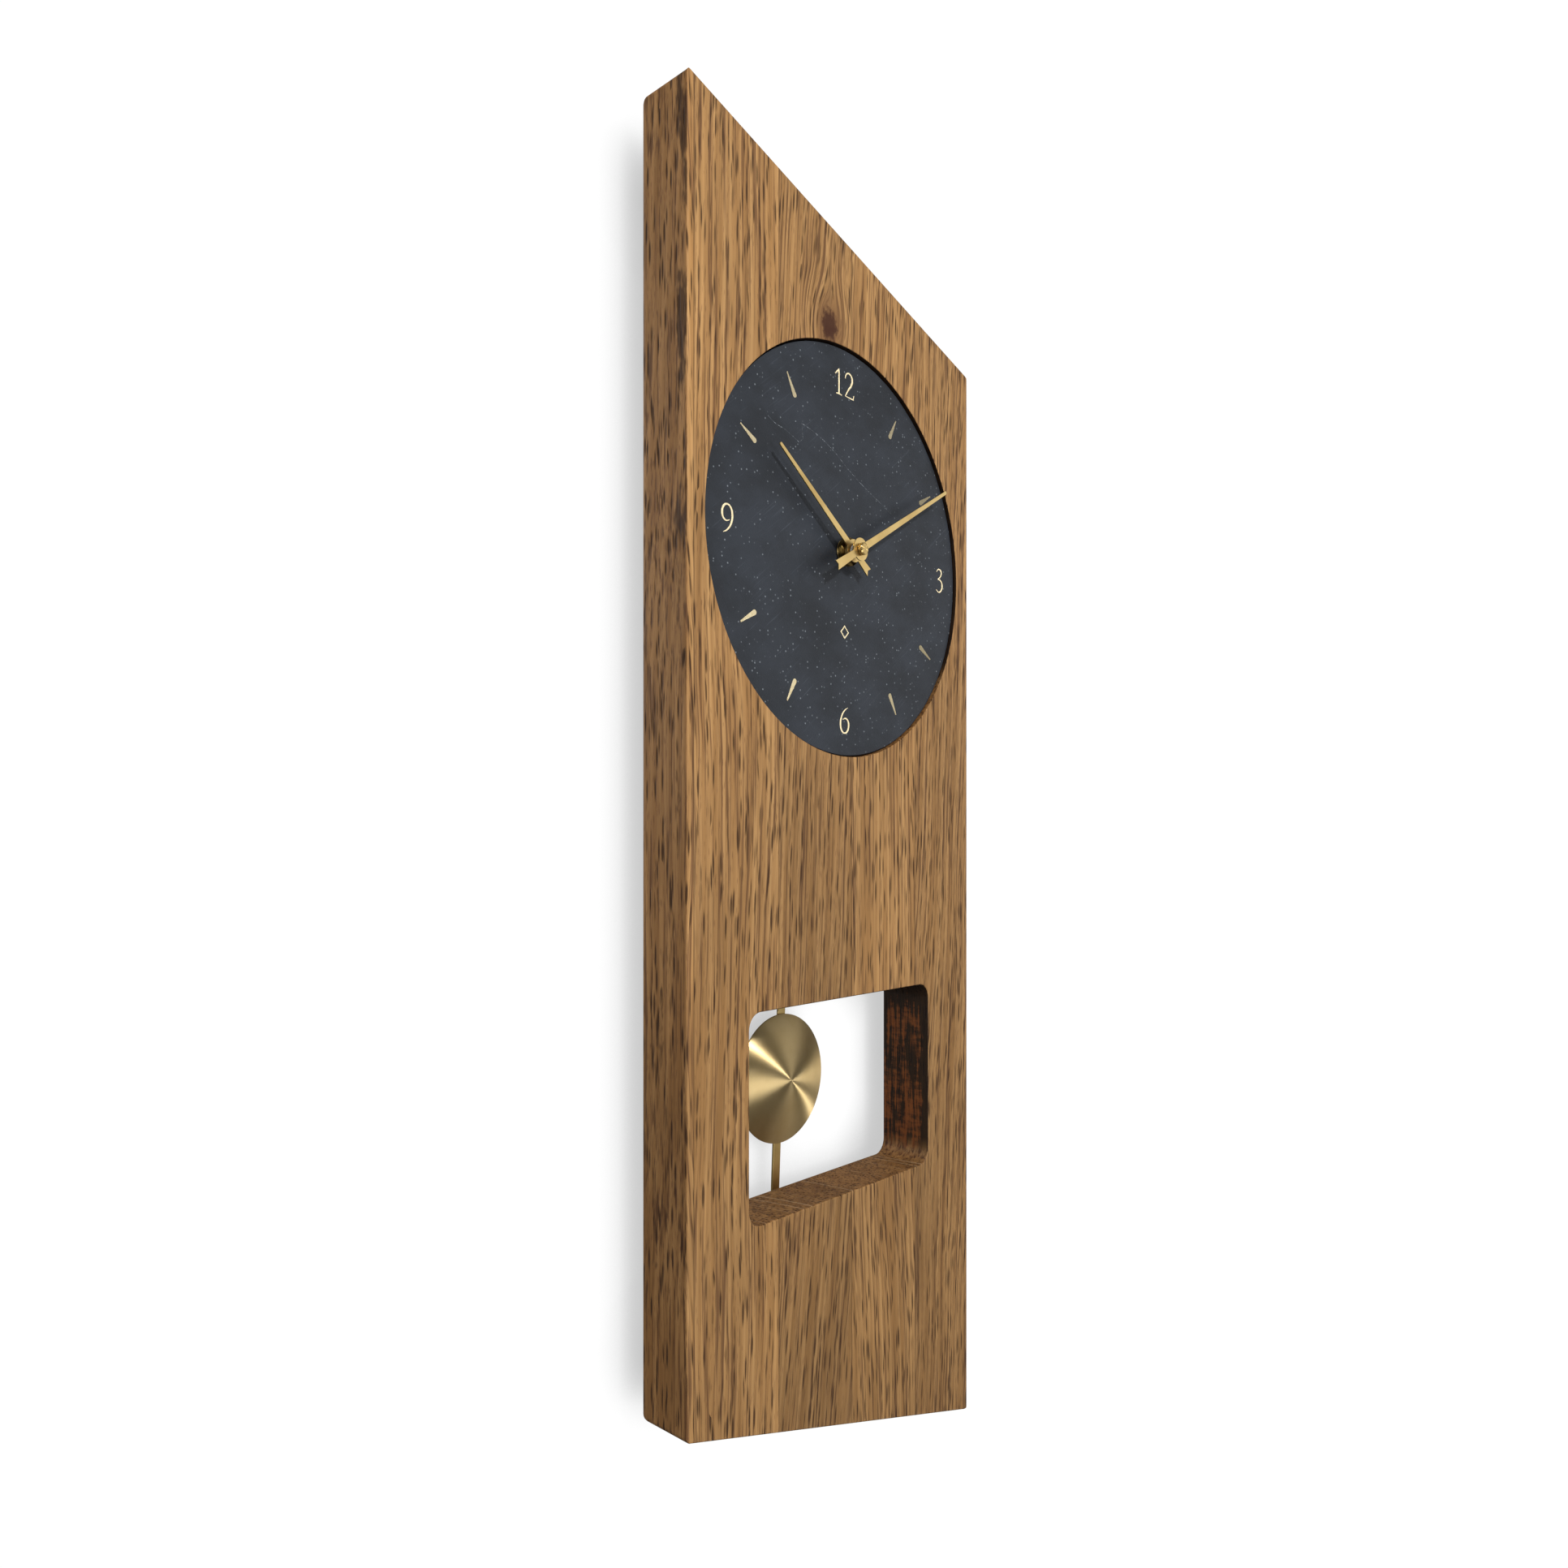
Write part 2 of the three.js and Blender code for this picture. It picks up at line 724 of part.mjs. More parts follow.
function motionWheel() {
  return join(
    disc(pivotRadius, caseInner - pivotSink + gap, coverBack + knobPivot, 10),
    gear(motionTeeth, motionModule, meshAngle(motionDirection, motionTeeth), 1),
    gear(motionPinionTeeth, hourModule, meshAngle(motionDirection, motionPinionTeeth), 0, 0, pinionOverhang),
  );
}

const motionGroup = group(...motionPlace);
add("motion_wheel", motionWheel(), "whitePlastic", motionGroup);

function settingKnob() {
  const knobFront = coverBack + gap;
  const grip = new THREE.Shape();
  const points = Array.from({ length: 4 * knobRidges }, (_, index) => {
    const radius = index % 4 < 2 ? knobRadius : knobRadius - knobRidge;
    const angle = (2 * Math.PI * index) / (4 * knobRidges);
    return new THREE.Vector2(radius * Math.cos(angle), radius * Math.sin(angle));
  });
  grip.setFromPoints(points);
  return cut(
    slab(grip, knobFront, Math.max(leaderBack, knobFront + knobHeight)),
    disc(pivotRadius + gap, knobFront - overrun, coverBack + knobPivot + gap, 12),
  );
}

add("setting_knob", settingKnob(), "whitePlastic", motionGroup);

// Going train, from the rotor to the wheel that is friction-tight on the minute arbor
add(
  "centre_wheel",
  gear(centreTeeth, centreModule, thirdDirection, 2, arborRadius + runningGap),
  "brass",
);

function trainArbor() {
  return disc(pivotRadius, caseInner - pivotSink + gap, plateBack + gap, 10);
}

function trainWheel(teeth, module, toothAngle, layer, pinionModule, pinionAngle) {
  return join(
    trainArbor(),
    gear(teeth, module, toothAngle, layer),
    gear(trainPinionTeeth, pinionModule, pinionAngle, layer - 1, 0, pinionOverhang),
  );
}

const pinionAngle = (direction) => meshAngle(direction, trainPinionTeeth);
add(
  "third_wheel",
  trainWheel(thirdTeeth, thirdModule, secondsDirection, 3, centreModule, pinionAngle(thirdDirection)),
  "brass",
  group(...thirdPlace),
);
add(
  "seconds_wheel",
  trainWheel(secondsTeeth, secondsModule, fifthDirection, 4, thirdModule, pinionAngle(secondsDirection)),
  "whitePlastic",
  group(...secondsPlace),
);
add(
  "fifth_wheel",
  trainWheel(fifthTeeth, fifthModule, rotorDirection, 5, secondsModule, pinionAngle(fifthDirection)),
  "whitePlastic",
  group(...fifthPlace),
);

// Stepping motor
const rotorGroup = group(...rotorPlace);
const coilDepth = plateFront - gap - runningGap - coilRadius;
const statorBack = coilDepth - coreThickness / 2 - gap;
const statorFront = statorBack - statorThickness;
const magnetFront = statorFront - magnetAir;
const magnetBack = statorBack + magnetAir;
add(
  "rotor",
  join(trainArbor(), gear(trainPinionTeeth, fifthModule, pinionAngle(rotorDirection), 5, 0, pinionOverhang)),
  "whitePlastic",
  rotorGroup,
);
add("rotor_magnet", ring(pivotRadius + gap, magnetRadius, magnetFront, magnetBack, 16), "steel", rotorGroup);

const statorAbove = 1.1; // iron above the rotor's magnet
const statorBelow = 4;
const statorTop = rotorPlace[1] + magnetRadius + statorAbove;
const statorBottom = rotorPlace[1] - magnetRadius - statorBelow;
const coilHeight = (statorTop + statorBottom) / 2;
const coilLeft = rotorPlace[0] + magnetRadius + statorBelow;
const coreFront = statorBack + gap;

function stator() {
  const slotLeft = coilLeft - gap;
  const slotRight = coilLeft + coilLength + gap;
  const outline = roundedBox(rotorPlace[0] - magnetRadius - 3, slotRight + 4, statorBottom, statorTop, 1);
  const before = statorFront - overrun;
  const behind = statorBack + overrun;
  const slotHalf = coilRadius + gap;
  return cut(
    slab(outline, statorFront, statorBack),
    at(disc(magnetRadius + magnetAir, before, behind, 20), ...rotorPlace),
    box(slotLeft, slotRight, before, behind, coilHeight - slotHalf, coilHeight + slotHalf),
  );
}

function motorCoil() {
  const winding = ring(coreHeight, coilRadius, 0, coilLength, 16);
  winding.rotateZ(-Math.PI / 2);
  return winding.translate(coilLeft, coilDepth, coilHeight);
}

add("stator", stator(), "steel");
add(
  "motor_core",
  box(
    coilLeft - coreOverhang,
    coilLeft + coilLength + coreOverhang,
    coreFront,
    coreFront + coreThickness,
    coilHeight - coreHeight / 2,
    coilHeight + coreHeight / 2,
  ),
  "steel",
);
add("motor_coil", motorCoil(), "copper");

// Electronics and cell
const circuitFront = caseInner + circuitLift;
const circuitBack = circuitFront + circuitThickness;
const circuitTop = -pivotDrop + 0.5;
const circuitBottom = cellBayTop + circuitLift;
add(
  "circuit_board",
  box(-circuitWidth / 2, circuitWidth / 2, circuitFront, circuitBack, circuitBottom, circuitTop),
  "circuit",
);

const magnetDrop = leaderLength * magnetShare;
const bobbinBack = coverInner - gap;
const bobbinFront = bobbinBack - driveCoilLength - 2 * (bobbinFlange + bobbinSlack);
const driveGroup = group(0, -pivotDrop - magnetDrop);
add(
  "coil_bobbin",
  turned(
    [
      [0, bobbinFront],
      [driveCoilRadius, bobbinFront],
      [driveCoilRadius, bobbinFront + bobbinFlange],
      [bobbinCore, bobbinFront + bobbinFlange],
      [bobbinCore, bobbinBack - bobbinFlange],
      [driveCoilRadius, bobbinBack - bobbinFlange],
      [driveCoilRadius, bobbinBack],
      [0, bobbinBack],
    ],
    20,
  ),
  "whitePlastic",
  driveGroup,
);
add(
  "drive_coil",
  ring(
    bobbinCore + gap,
    driveCoilRadius - 0.4,
    bobbinFront + bobbinFlange + bobbinSlack,
    bobbinBack - bobbinFlange - bobbinSlack,
  ),
  "copper",
  driveGroup,
);

// The cell lies along X in the open bay under the movement.
function cell() {
  const half = cellLength / 2;
  const body = turned(
    [
      [0, -half + 0.3],
      [cellRadius - 1, -half + 0.3],
      [cellRadius, -half + 1],
      [cellRadius, half - cellNubLength - 0.8],
      [cellRadius - 1, half - cellNubLength],
      [cellNubRadius, half - cellNubLength],
      [cellNubRadius, half],
      [0, half],
    ],
    20,
  );
  body.rotateZ(-Math.PI / 2);
  return body.translate(0, cellDepth, cellCentre);
}

add("cell", cell(), "cell");

const contactReach = halfCase - caseWall - gap;
const tabBack = coverInner - lipDepth - contactClearance;
const tabFront = tabBack - contactWidth;
const tabBottom = cellCentre - contactDrop;
const tabTop = cellBayTop + contactRise;
add(
  "contact_positive",
  join(
    box(contactReach - contactThickness, contactReach, tabFront, tabBack, tabBottom, tabTop),
    box(contactReach - 6, contactReach, tabFront, tabFront + 1, tabTop - 1, tabTop),
  ),
  "steel",
);

function springContact() {
  const cone = turned([[0, 0], [4, 0], [2.4, 1.5], [0, 1.5]], 16);
  cone.rotateZ(-Math.PI / 2);
  cone.translate(-contactReach + contactThickness - 0.1, cellDepth, cellCentre);
  return join(
    box(-contactReach, -contactReach + contactThickness, tabFront, tabBack, tabBottom, tabTop),
    cone,
  );
}

add("contact_negative", springContact(), "steel");

// Hands, drawn pointing up and turned to the shown time

function handOutline(length, tail) {
  const meet = Math.sqrt(handHub ** 2 - (handRootWidth / 2) ** 2);
  const rootAngle = Math.asin(handRootWidth / 2 / handHub);
  const outline = new THREE.Shape();
  outline.moveTo(handRootWidth / 2, meet);
  outline.lineTo(handTipWidth / 2, length - handTipWidth / 2);
  outline.absarc(0, length - handTipWidth / 2, handTipWidth / 2, 0, Math.PI, false);
  outline.lineTo(-handRootWidth / 2, meet);
  outline.absarc(0, 0, handHub, Math.PI / 2 + rootAngle, 1.5 * Math.PI - rootAngle, false);
  outline.lineTo(-handTailWidth / 2, -tail);
  outline.lineTo(0, -tail + tailNotch);
  outline.lineTo(handTailWidth / 2, -tail);
  outline.absarc(0, 0, handHub, 1.5 * Math.PI + rootAngle, 2.5 * Math.PI - rootAngle, false);
  return outline;
}

function hand(length, tail, shaftRadius, front, colletDepth) {
  const back = front + handThickness;
  const hole = shaftRadius + gap;
  return cut(
    join(
      slab(handOutline(length, tail), front, back, 5),
      disc(hole + colletWall, front + 0.1, back + colletDepth, 20),
    ),
    disc(hole, front - overrun, back + colletDepth + overrun, 20),
  );
}

const hourReach = pocketRadius - hourMargin;
const minuteReach = pocketRadius - minuteMargin;
const hourCollet = bushFront - gap - hourBack;
const hourHand = add("hour_hand", hand(hourReach, hourTail, tubeRadius, hourFront, hourCollet), "brass");
hourHand.rotation.y = hourAngle;
const minuteHand = add(
  "minute_hand",
  hand(minuteReach, minuteTail, arborRadius, minuteFront, minuteCollet),
  "brass",
);
minuteHand.rotation.y = minuteAngle;
const capBack = minuteFront - gap;
add(
  "hand_cap",
  turned(
    [
      [0, capBack - capLength],
      [capRadius - capEdge, capBack - capLength],
      [capRadius, capBack - capLength + capEdge],
      [capRadius, capBack],
      [0, capBack],
    ],
    20,
  ),
  "brass",
);

// Pendulum, drawn hanging straight from its pivot and swung to one side
const pendulum = group(0, -pivotDrop);
pendulum.rotation.y = tiltAngle;
const pegDrop = leaderLength - hookPegInset;
const pinHeadFront = leaderBack + gap;

add(
  "pivot_pin",
  at(
    turned(
      [
        [0, coverInner + gap],
        [pivotPinRadius, coverInner + gap],
        [pivotPinRadius, pinHeadFront],
        [pivotPinRadius + pivotPinHead, pinHeadFront],
        [pivotPinRadius + pivotPinHead, pinHeadFront + pivotPinHead],
        [0, pinHeadFront + pivotPinHead],
      ],
      16,
    ),
    0,
    -pivotDrop,
  ),
  "steel",
);

function leader() {
  const halfWidth = leaderWidth / 2;
  const arm = roundedBox(-halfWidth, halfWidth, -leaderLength, halfWidth, halfWidth - 0.05);
  return cut(
    join(
      slab(arm, leaderFront, leaderBack),
      at(disc(leaderMagnetRadius + leaderMagnetWall, leaderFront, leaderBack, 20), 0, -magnetDrop),
      at(disc(hookPegRadius, leaderBack - overlap, rodFront + rodThickness + hookPegProud, 12), 0, -pegDrop),
    ),
    disc(pivotPinRadius + runningGap, leaderFront - overrun, leaderBack + overrun, 16),
    at(disc(leaderMagnetRadius + gap, leaderFront - overrun, leaderBack + overrun, 20), 0, -magnetDrop),
  );
}

add("pendulum_leader", leader(), "whitePlastic", pendulum);
add(
  "leader_magnet",
  at(disc(leaderMagnetRadius, leaderFront + 0.1, leaderBack - 0.1, 20), 0, -magnetDrop),
  "steel",
  pendulum,
);

function rod() {
  const half = rodWidth / 2;
  const strip = roundedBox(-half, half, -rodEnd, -pegDrop + rodAbovePeg, 1);
  return cut(
    slab(strip, rodFront, rodFront + rodThickness),
    at(disc(hookPegRadius + gap, rodFront - overrun, rodFront + rodThickness + overrun, 12), 0, -pegDrop),
  );
}

add("pendulum_rod", rod(), "brass", pendulum);

// The bob is a shallow spun dome, hollow behind, with a plain rim.
const rimBack = rodFront - gap;
const rimFront = rimBack - bobRim;

function domeArc(radius, height, base, steps) {
  const curvature = (radius ** 2 + height ** 2) / (2 * height);
  return Array.from({ length: steps + 1 }, (_, index) => {
    const r = (radius * index) / steps;
    return [r, base - height + curvature - Math.sqrt(curvature ** 2 - r ** 2)];
  });
}

const bobGroup = group(0, -bobDistance, pendulum);
const outerDome = domeArc(bobRadius, bobDome, rimFront, 5);
const innerDome = domeArc(bobRadius - bobSheet, bobDome, rimFront + bobSheet, 5).reverse();
innerDome[0] = [bobRadius - bobSheet, rimBack];
add("pendulum_bob", turned([...outerDome, [bobRadius, rimBack], ...innerDome], 36), "brass", bobGroup);

// A strap behind the rod, its feet on a bar across the back of the bob
function bobClip() {
  const inside = rodWidth / 2 + gap;
  const foot = inside + clipThickness;
  const strapFront = rodFront + rodThickness + gap;
  const barBack = rodFront + clipThickness;
  const half = clipWidth / 2;
  const edge = bobRadius - bobSheet;
  return join(
    box(-foot, foot, strapFront, clipBack, -half, half),
    box(-foot, -inside, rodFront - 0.1, clipBack, -half, half),
    box(inside, foot, rodFront - 0.1, clipBack, -half, half),
    box(-edge, -inside, rodFront, barBack, -half, half),
    box(inside, edge, rodFront, barBack, -half, half),
  );
}

add("bob_clip", bobClip(), "steel", bobGroup);

// Keyhole hanger, flush with the back of the board
function hangerPlate() {
  const outline = roundedBox(-hangerWidth / 2, hangerWidth / 2, hangerBottom, hangerTop, cornerRadius);
  const slot = roundedBox(
    -keyslotRadius,
    keyslotRadius,
    hangerHeightAboveShaft - keyholeDrop,
    hangerHeightAboveShaft + keyslotRadius,
    keyslotRadius - 0.05,
  );
  const before = hangerFront - overrun;
  const past = boardThickness + overrun;
  return cut(
    slab(outline, hangerFront, boardThickness),
    slab(slot, before, past),
    at(disc(keyholeRadius, before, past, 24), 0, hangerHeightAboveShaft - keyholeDrop),
    ...hangerScrewHeights.map((z) => at(disc(woodScrewRadius + gap, before, past, 12), 0, z)),
  );
}

add("hanger_plate", hangerPlate(), "steel");
hangerScrewHeights.forEach((z, index) => {
  const seat = boardThickness + gap;
  const screw = turned(
    [
      [0, seat - woodScrewLength],
      [woodScrewRadius * 0.6, seat - woodScrewLength + 0.5],
      [woodScrewRadius, seat - woodScrewLength + 2.5],
      [woodScrewRadius, seat],
      [woodScrewHead, seat],
      [woodScrewHead - 0.6, seat + 1.1],
      [0, seat + 1.4],
    ],
    14,
  );
  add(`hanger_screw_${index + 1}`, at(screw, 0, z), "steel");
});

// Turned spacers that hold the board off the wall, each with a felt pad
spacerPlaces.forEach(([x, z], index) => {
  const front = boardThickness + gap;
  const back = wallDepth - feltThickness - gap;
  const spacer = turned(
    [
      [0, boardThickness - dowelLength],
      [dowelRadius, boardThickness - dowelLength],
      [dowelRadius, front],
      [spacerRadius, front],
      [spacerRadius, back],
      [0, back],
    ],
    20,
  );
  add(`wall_spacer_${index + 1}`, at(spacer, x, z), "oak");
  add(`felt_pad_${index + 1}`, at(disc(spacerRadius - feltInset, back + gap, wallDepth, 20), x, z), "felt");
});

export default clock;
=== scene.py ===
import json
import math

import bmesh
import bpy
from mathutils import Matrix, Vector, noise

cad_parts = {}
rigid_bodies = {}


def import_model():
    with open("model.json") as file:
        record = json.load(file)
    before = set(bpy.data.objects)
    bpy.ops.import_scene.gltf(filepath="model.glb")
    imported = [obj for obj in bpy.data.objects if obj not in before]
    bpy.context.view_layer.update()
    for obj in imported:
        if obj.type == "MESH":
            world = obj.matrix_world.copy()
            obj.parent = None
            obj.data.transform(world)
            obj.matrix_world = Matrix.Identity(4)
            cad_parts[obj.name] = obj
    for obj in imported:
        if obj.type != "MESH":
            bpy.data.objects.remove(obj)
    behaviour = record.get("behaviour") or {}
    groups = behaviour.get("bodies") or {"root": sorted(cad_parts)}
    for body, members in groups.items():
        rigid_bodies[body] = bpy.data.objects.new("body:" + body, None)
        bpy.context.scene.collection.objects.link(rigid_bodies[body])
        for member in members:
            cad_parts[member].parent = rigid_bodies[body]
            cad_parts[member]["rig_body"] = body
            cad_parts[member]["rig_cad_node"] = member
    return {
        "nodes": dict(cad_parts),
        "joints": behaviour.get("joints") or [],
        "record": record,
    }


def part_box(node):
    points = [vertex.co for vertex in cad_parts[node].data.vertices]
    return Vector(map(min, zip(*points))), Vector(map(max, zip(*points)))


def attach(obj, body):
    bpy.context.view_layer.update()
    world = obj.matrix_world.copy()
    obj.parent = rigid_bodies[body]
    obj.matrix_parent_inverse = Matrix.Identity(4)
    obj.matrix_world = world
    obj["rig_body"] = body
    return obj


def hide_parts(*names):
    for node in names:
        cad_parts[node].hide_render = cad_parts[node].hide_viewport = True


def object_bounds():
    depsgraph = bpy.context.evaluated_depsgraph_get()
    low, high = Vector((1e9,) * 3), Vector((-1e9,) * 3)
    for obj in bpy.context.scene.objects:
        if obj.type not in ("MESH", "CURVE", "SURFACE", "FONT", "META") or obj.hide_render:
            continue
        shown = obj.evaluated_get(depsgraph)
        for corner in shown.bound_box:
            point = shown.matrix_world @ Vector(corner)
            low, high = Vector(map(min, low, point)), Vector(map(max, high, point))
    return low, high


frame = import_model()
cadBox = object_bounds()
mm = 0.001
tiny = 0.001 * mm
joints = {joint["name"]: joint for joint in frame["joints"]}
shaft = Vector(joints["minute_turn"]["pos_m"])
pivot = Vector(joints["pendulum_swing"]["pos_m"])
print("frame loaded,", len(frame["nodes"]), "pieces")


# Helpers for objects and edit mode
def deselectAll():
    if bpy.context.object and bpy.context.object.mode != "OBJECT":
        bpy.ops.object.mode_set(mode="OBJECT")
    bpy.ops.object.select_all(action="DESELECT")


def openEdit(piece):
    deselectAll()
    piece.select_set(True)
    bpy.context.view_layer.objects.active = piece
    bpy.ops.object.mode_set(mode="EDIT")
    bpy.ops.mesh.select_all(action="DESELECT")


def closeEdit():
    bpy.ops.object.mode_set(mode="OBJECT")


def pick(piece, kind, test):
    bpy.ops.mesh.select_mode(type=kind)
    bpy.ops.mesh.select_all(action="DESELECT")
    shape = bmesh.from_edit_mesh(piece.data)
    shape.normal_update()
    elements = {"VERT": shape.verts, "EDGE": shape.edges, "FACE": shape.faces}[kind]
    for element in elements:
        if test(element):
            element.select_set(True)
    bmesh.update_edit_mesh(piece.data)


def middle(element):
    corners = [vert.co for vert in element.verts]
    return sum(corners, Vector()) / len(corners)


def facesFront(face):
    return face.normal.y < -0.99


def facesBack(face):
    return face.normal.y > 0.99


def applyModifier(piece, kind, **settings):
    deselectAll()
    piece.select_set(True)
    bpy.context.view_layer.objects.active = piece
    modifier = piece.modifiers.new(kind.title(), kind)
    for key, value in settings.items():
        setattr(modifier, key, value)
    bpy.ops.object.modifier_apply(modifier=modifier.name)


def roundEdges(piece, width, segments=2, angle=40):
    applyModifier(piece, "BEVEL", width=width, segments=segments, limit_method="ANGLE",
                  angle_limit=math.radians(angle), use_clamp_overlap=True)


def cutWith(piece, *tools):
    for tool in tools:
        applyModifier(piece, "BOOLEAN", operation="DIFFERENCE", solver="EXACT", object=tool)
        bpy.data.objects.remove(tool, do_unlink=True)


def applyPlace(piece):
    deselectAll()
    piece.select_set(True)
    bpy.context.view_layer.objects.active = piece
    bpy.ops.object.transform_apply(location=True, rotation=True, scale=True)


def setPlace(piece, place, turnAboutY=0.0):
    piece.location = place
    piece.rotation_euler = (0, turnAboutY, 0)
    applyPlace(piece)


def newBox(name, low, high):
    deselectAll()
    low, high = Vector(low), Vector(high)
    bpy.ops.mesh.primitive_cube_add(size=1, location=(low + high) / 2, scale=high - low)
    piece = bpy.context.object
    piece.name = name
    applyPlace(piece)
    return piece


# A cylinder whose axis runs along Y, from one depth to another.
def newRound(name, centre, radius, front, back, sides=48):
    deselectAll()
    place = (centre[0], (front + back) / 2, centre[-1])
    bpy.ops.mesh.primitive_cylinder_add(
        vertices=sides, radius=radius, depth=back - front, location=place, rotation=(math.pi / 2, 0, 0))
    piece = bpy.context.object
    piece.name = name
    applyPlace(piece)
    return piece


# A plate in X and Z with round corners.
def newPlate(name, low, high, radius, segments=6):
    piece = newBox(name, low, high)
    openEdit(piece)
    depth = high[1] - low[1]
    pick(piece, "EDGE", lambda edge: abs(edge.verts[0].co.y - edge.verts[1].co.y) > depth / 2)
    bpy.ops.mesh.bevel(offset=radius, segments=segments, affect="EDGES")
    closeEdit()
    return piece


# A solid turned about the Y axis through the world origin, from (radius, y) steps given front to back.
def newTurned(name, steps, sides=48):
    deselectAll()
    firstRadius, firstDepth = steps[0]
    bpy.ops.mesh.primitive_circle_add(vertices=sides, radius=firstRadius, fill_type="NGON",
                                      location=(0, firstDepth, 0), rotation=(math.pi / 2, 0, 0))
    piece = bpy.context.object
    piece.name = name
    applyPlace(piece)
    openEdit(piece)
    bpy.ops.mesh.select_mode(type="FACE")
    bpy.ops.mesh.select_all(action="SELECT")
    for (before, depthBefore), (radius, depth) in zip(steps, steps[1:]):
        bpy.ops.mesh.extrude_region_move(TRANSFORM_OT_translate={"value": (0, depth - depthBefore, 0)})
        grow = radius / before
        if abs(grow - 1) > 1e-6:
            bpy.ops.transform.resize(value=(grow, 1, grow), center_override=(0, depth, 0))
    bpy.ops.mesh.select_all(action="SELECT")
    bpy.ops.mesh.normals_make_consistent(inside=False)
    closeEdit()
    return piece


def finishPiece(piece, body, slotName, finish, *nodes, angle=35):
    openEdit(piece)
    bpy.ops.mesh.select_mode(type="VERT")
    bpy.ops.mesh.select_all(action="SELECT")
    bpy.ops.mesh.remove_doubles(threshold=1e-6)
    bpy.ops.mesh.normals_make_consistent(inside=False)
    closeEdit()
    bpy.ops.object.shade_smooth_by_angle(angle=math.radians(angle))
    applyModifier(piece, "WEIGHTED_NORMAL", keep_sharp=True)
    piece.data.materials.clear()
    piece.data.materials.append(finish)
    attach(piece, body)
    if nodes:
        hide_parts(*nodes)
    return piece


# Helpers for materials
def tone(code):
    channels = [int(code[start:start + 2], 16) / 255 for start in (0, 2, 4)]
    linear = [c / 12.92 if c <= 0.04045 else ((c + 0.055) / 1.055) ** 2.4 for c in channels]
    return (*linear, 1.0)


def feed(tree, socket, value):
    if isinstance(value, bpy.types.NodeSocket):
        tree.links.new(value, socket)
    else:
        socket.default_value = value


def calc(tree, operation, *values):
    node = tree.nodes.new("ShaderNodeMath")
    node.operation = operation
    for socket, value in zip(node.inputs, values):
        feed(tree, socket, value)
    return node.outputs[0]


def vectorCalc(tree, operation, *values):
    node = tree.nodes.new("ShaderNodeVectorMath")
    node.operation = operation
    for socket, value in zip(node.inputs, values):
        feed(tree, socket, value)
    return node.outputs["Value"] if operation in ("LENGTH", "DOT_PRODUCT") else node.outputs["Vector"]


def joinVector(tree, x, y, z):
    node = tree.nodes.new("ShaderNodeCombineXYZ")
    for socket, value in zip(node.inputs, (x, y, z)):
        feed(tree, socket, value)
    return node.outputs[0]


def splitVector(tree, vector):
    node = tree.nodes.new("ShaderNodeSeparateXYZ")
    feed(tree, node.inputs[0], vector)
    return node.outputs[0], node.outputs[1], node.outputs[2]


def spanOf(tree, value, low, high, newLow=0.0, newHigh=1.0):
    node = tree.nodes.new("ShaderNodeMapRange")
    node.interpolation_type = "SMOOTHSTEP"
    for socket, number in zip(node.inputs, (value, low, high, newLow, newHigh)):
        feed(tree, socket, number)
    return node.outputs[0]


def noiseAt(tree, place, stretch, detail=2.0, rough=0.5, shift=(0, 0, 0)):
    spread = vectorCalc(tree, "MULTIPLY_ADD", place, stretch, shift)
    node = tree.nodes.new("ShaderNodeTexNoise")
    feed(tree, node.inputs["Vector"], spread)
    node.inputs["Scale"].default_value = 1.0
    node.inputs["Detail"].default_value = detail
    node.inputs["Roughness"].default_value = rough
    return node.outputs["Fac"]


def cellsAt(tree, place, stretch, shift=(0, 0, 0)):
    spread = vectorCalc(tree, "MULTIPLY_ADD", place, stretch, shift)
    node = tree.nodes.new("ShaderNodeTexVoronoi")
    feed(tree, node.inputs["Vector"], spread)
    node.inputs["Scale"].default_value = 1.0
    return node.outputs["Distance"], node.outputs["Color"]


def blendTones(tree, share, first, second, mode="MIX"):
    node = tree.nodes.new("ShaderNodeMix")
    node.data_type = "RGBA"
    node.blend_type = mode
    feed(tree, node.inputs[0], share)
    feed(tree, node.inputs[6], first)
    feed(tree, node.inputs[7], second)
    return node.outputs[2]


def bumpFrom(tree, height, distance, strength=1.0):
    node = tree.nodes.new("ShaderNodeBump")
    node.inputs["Strength"].default_value = strength
    node.inputs["Distance"].default_value = distance
    feed(tree, node.inputs["Height"], height)
    return node.outputs[0]


def objectPlace(tree):
    return tree.nodes.new("ShaderNodeTexCoord").outputs["Object"]


def newFinish(name, **sockets):
    finish = bpy.data.materials.new(name)
    finish.use_nodes = True
    tree = finish.node_tree
    shader = tree.nodes["Principled BSDF"]
    for key, value in sockets.items():
        shader.inputs[key].default_value = value
    return finish, tree, shader


# Sizes of the oak board, which its material needs too
board = {
    "upperLeftHeight": 80 * mm, "sideHeight": 520 * mm, "drop": 60 * mm,
    "frontEdge": 0.8 * mm, "backEdge": 3 * mm,
    "upperLeftRadius": 2.2 * mm, "upperRightRadius": 7 * mm, "lowerRadius": 2.7 * mm,
    "dialRadius": 90 * mm, "dialDepth": 6.5 * mm, "dialRim": 0.35 * mm, "bushHole": 4.3 * mm,
    "windowLow": -368 * mm, "windowHigh": -282 * mm, "windowHalf": 64.5 * mm, "windowRadius": 7 * mm,
    "windowRim": 0.7 * mm,
    "pocketClearance": 1 * mm, "pocketFloor": 1.6 * mm, "pocketRadius": 4 * mm,
    "hangerRoom": 0.3 * mm, "hangerRadius": 2 * mm,
    "headHalf": 6.2 * mm, "headDrop": 17.2 * mm, "headDepth": 8 * mm, "headRadius": 3 * mm,
    "dowelHole": 4.3 * mm, "dowelDepth": 8.3 * mm, "screwHole": 1.8 * mm,
}
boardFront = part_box("oak_case")[0].y

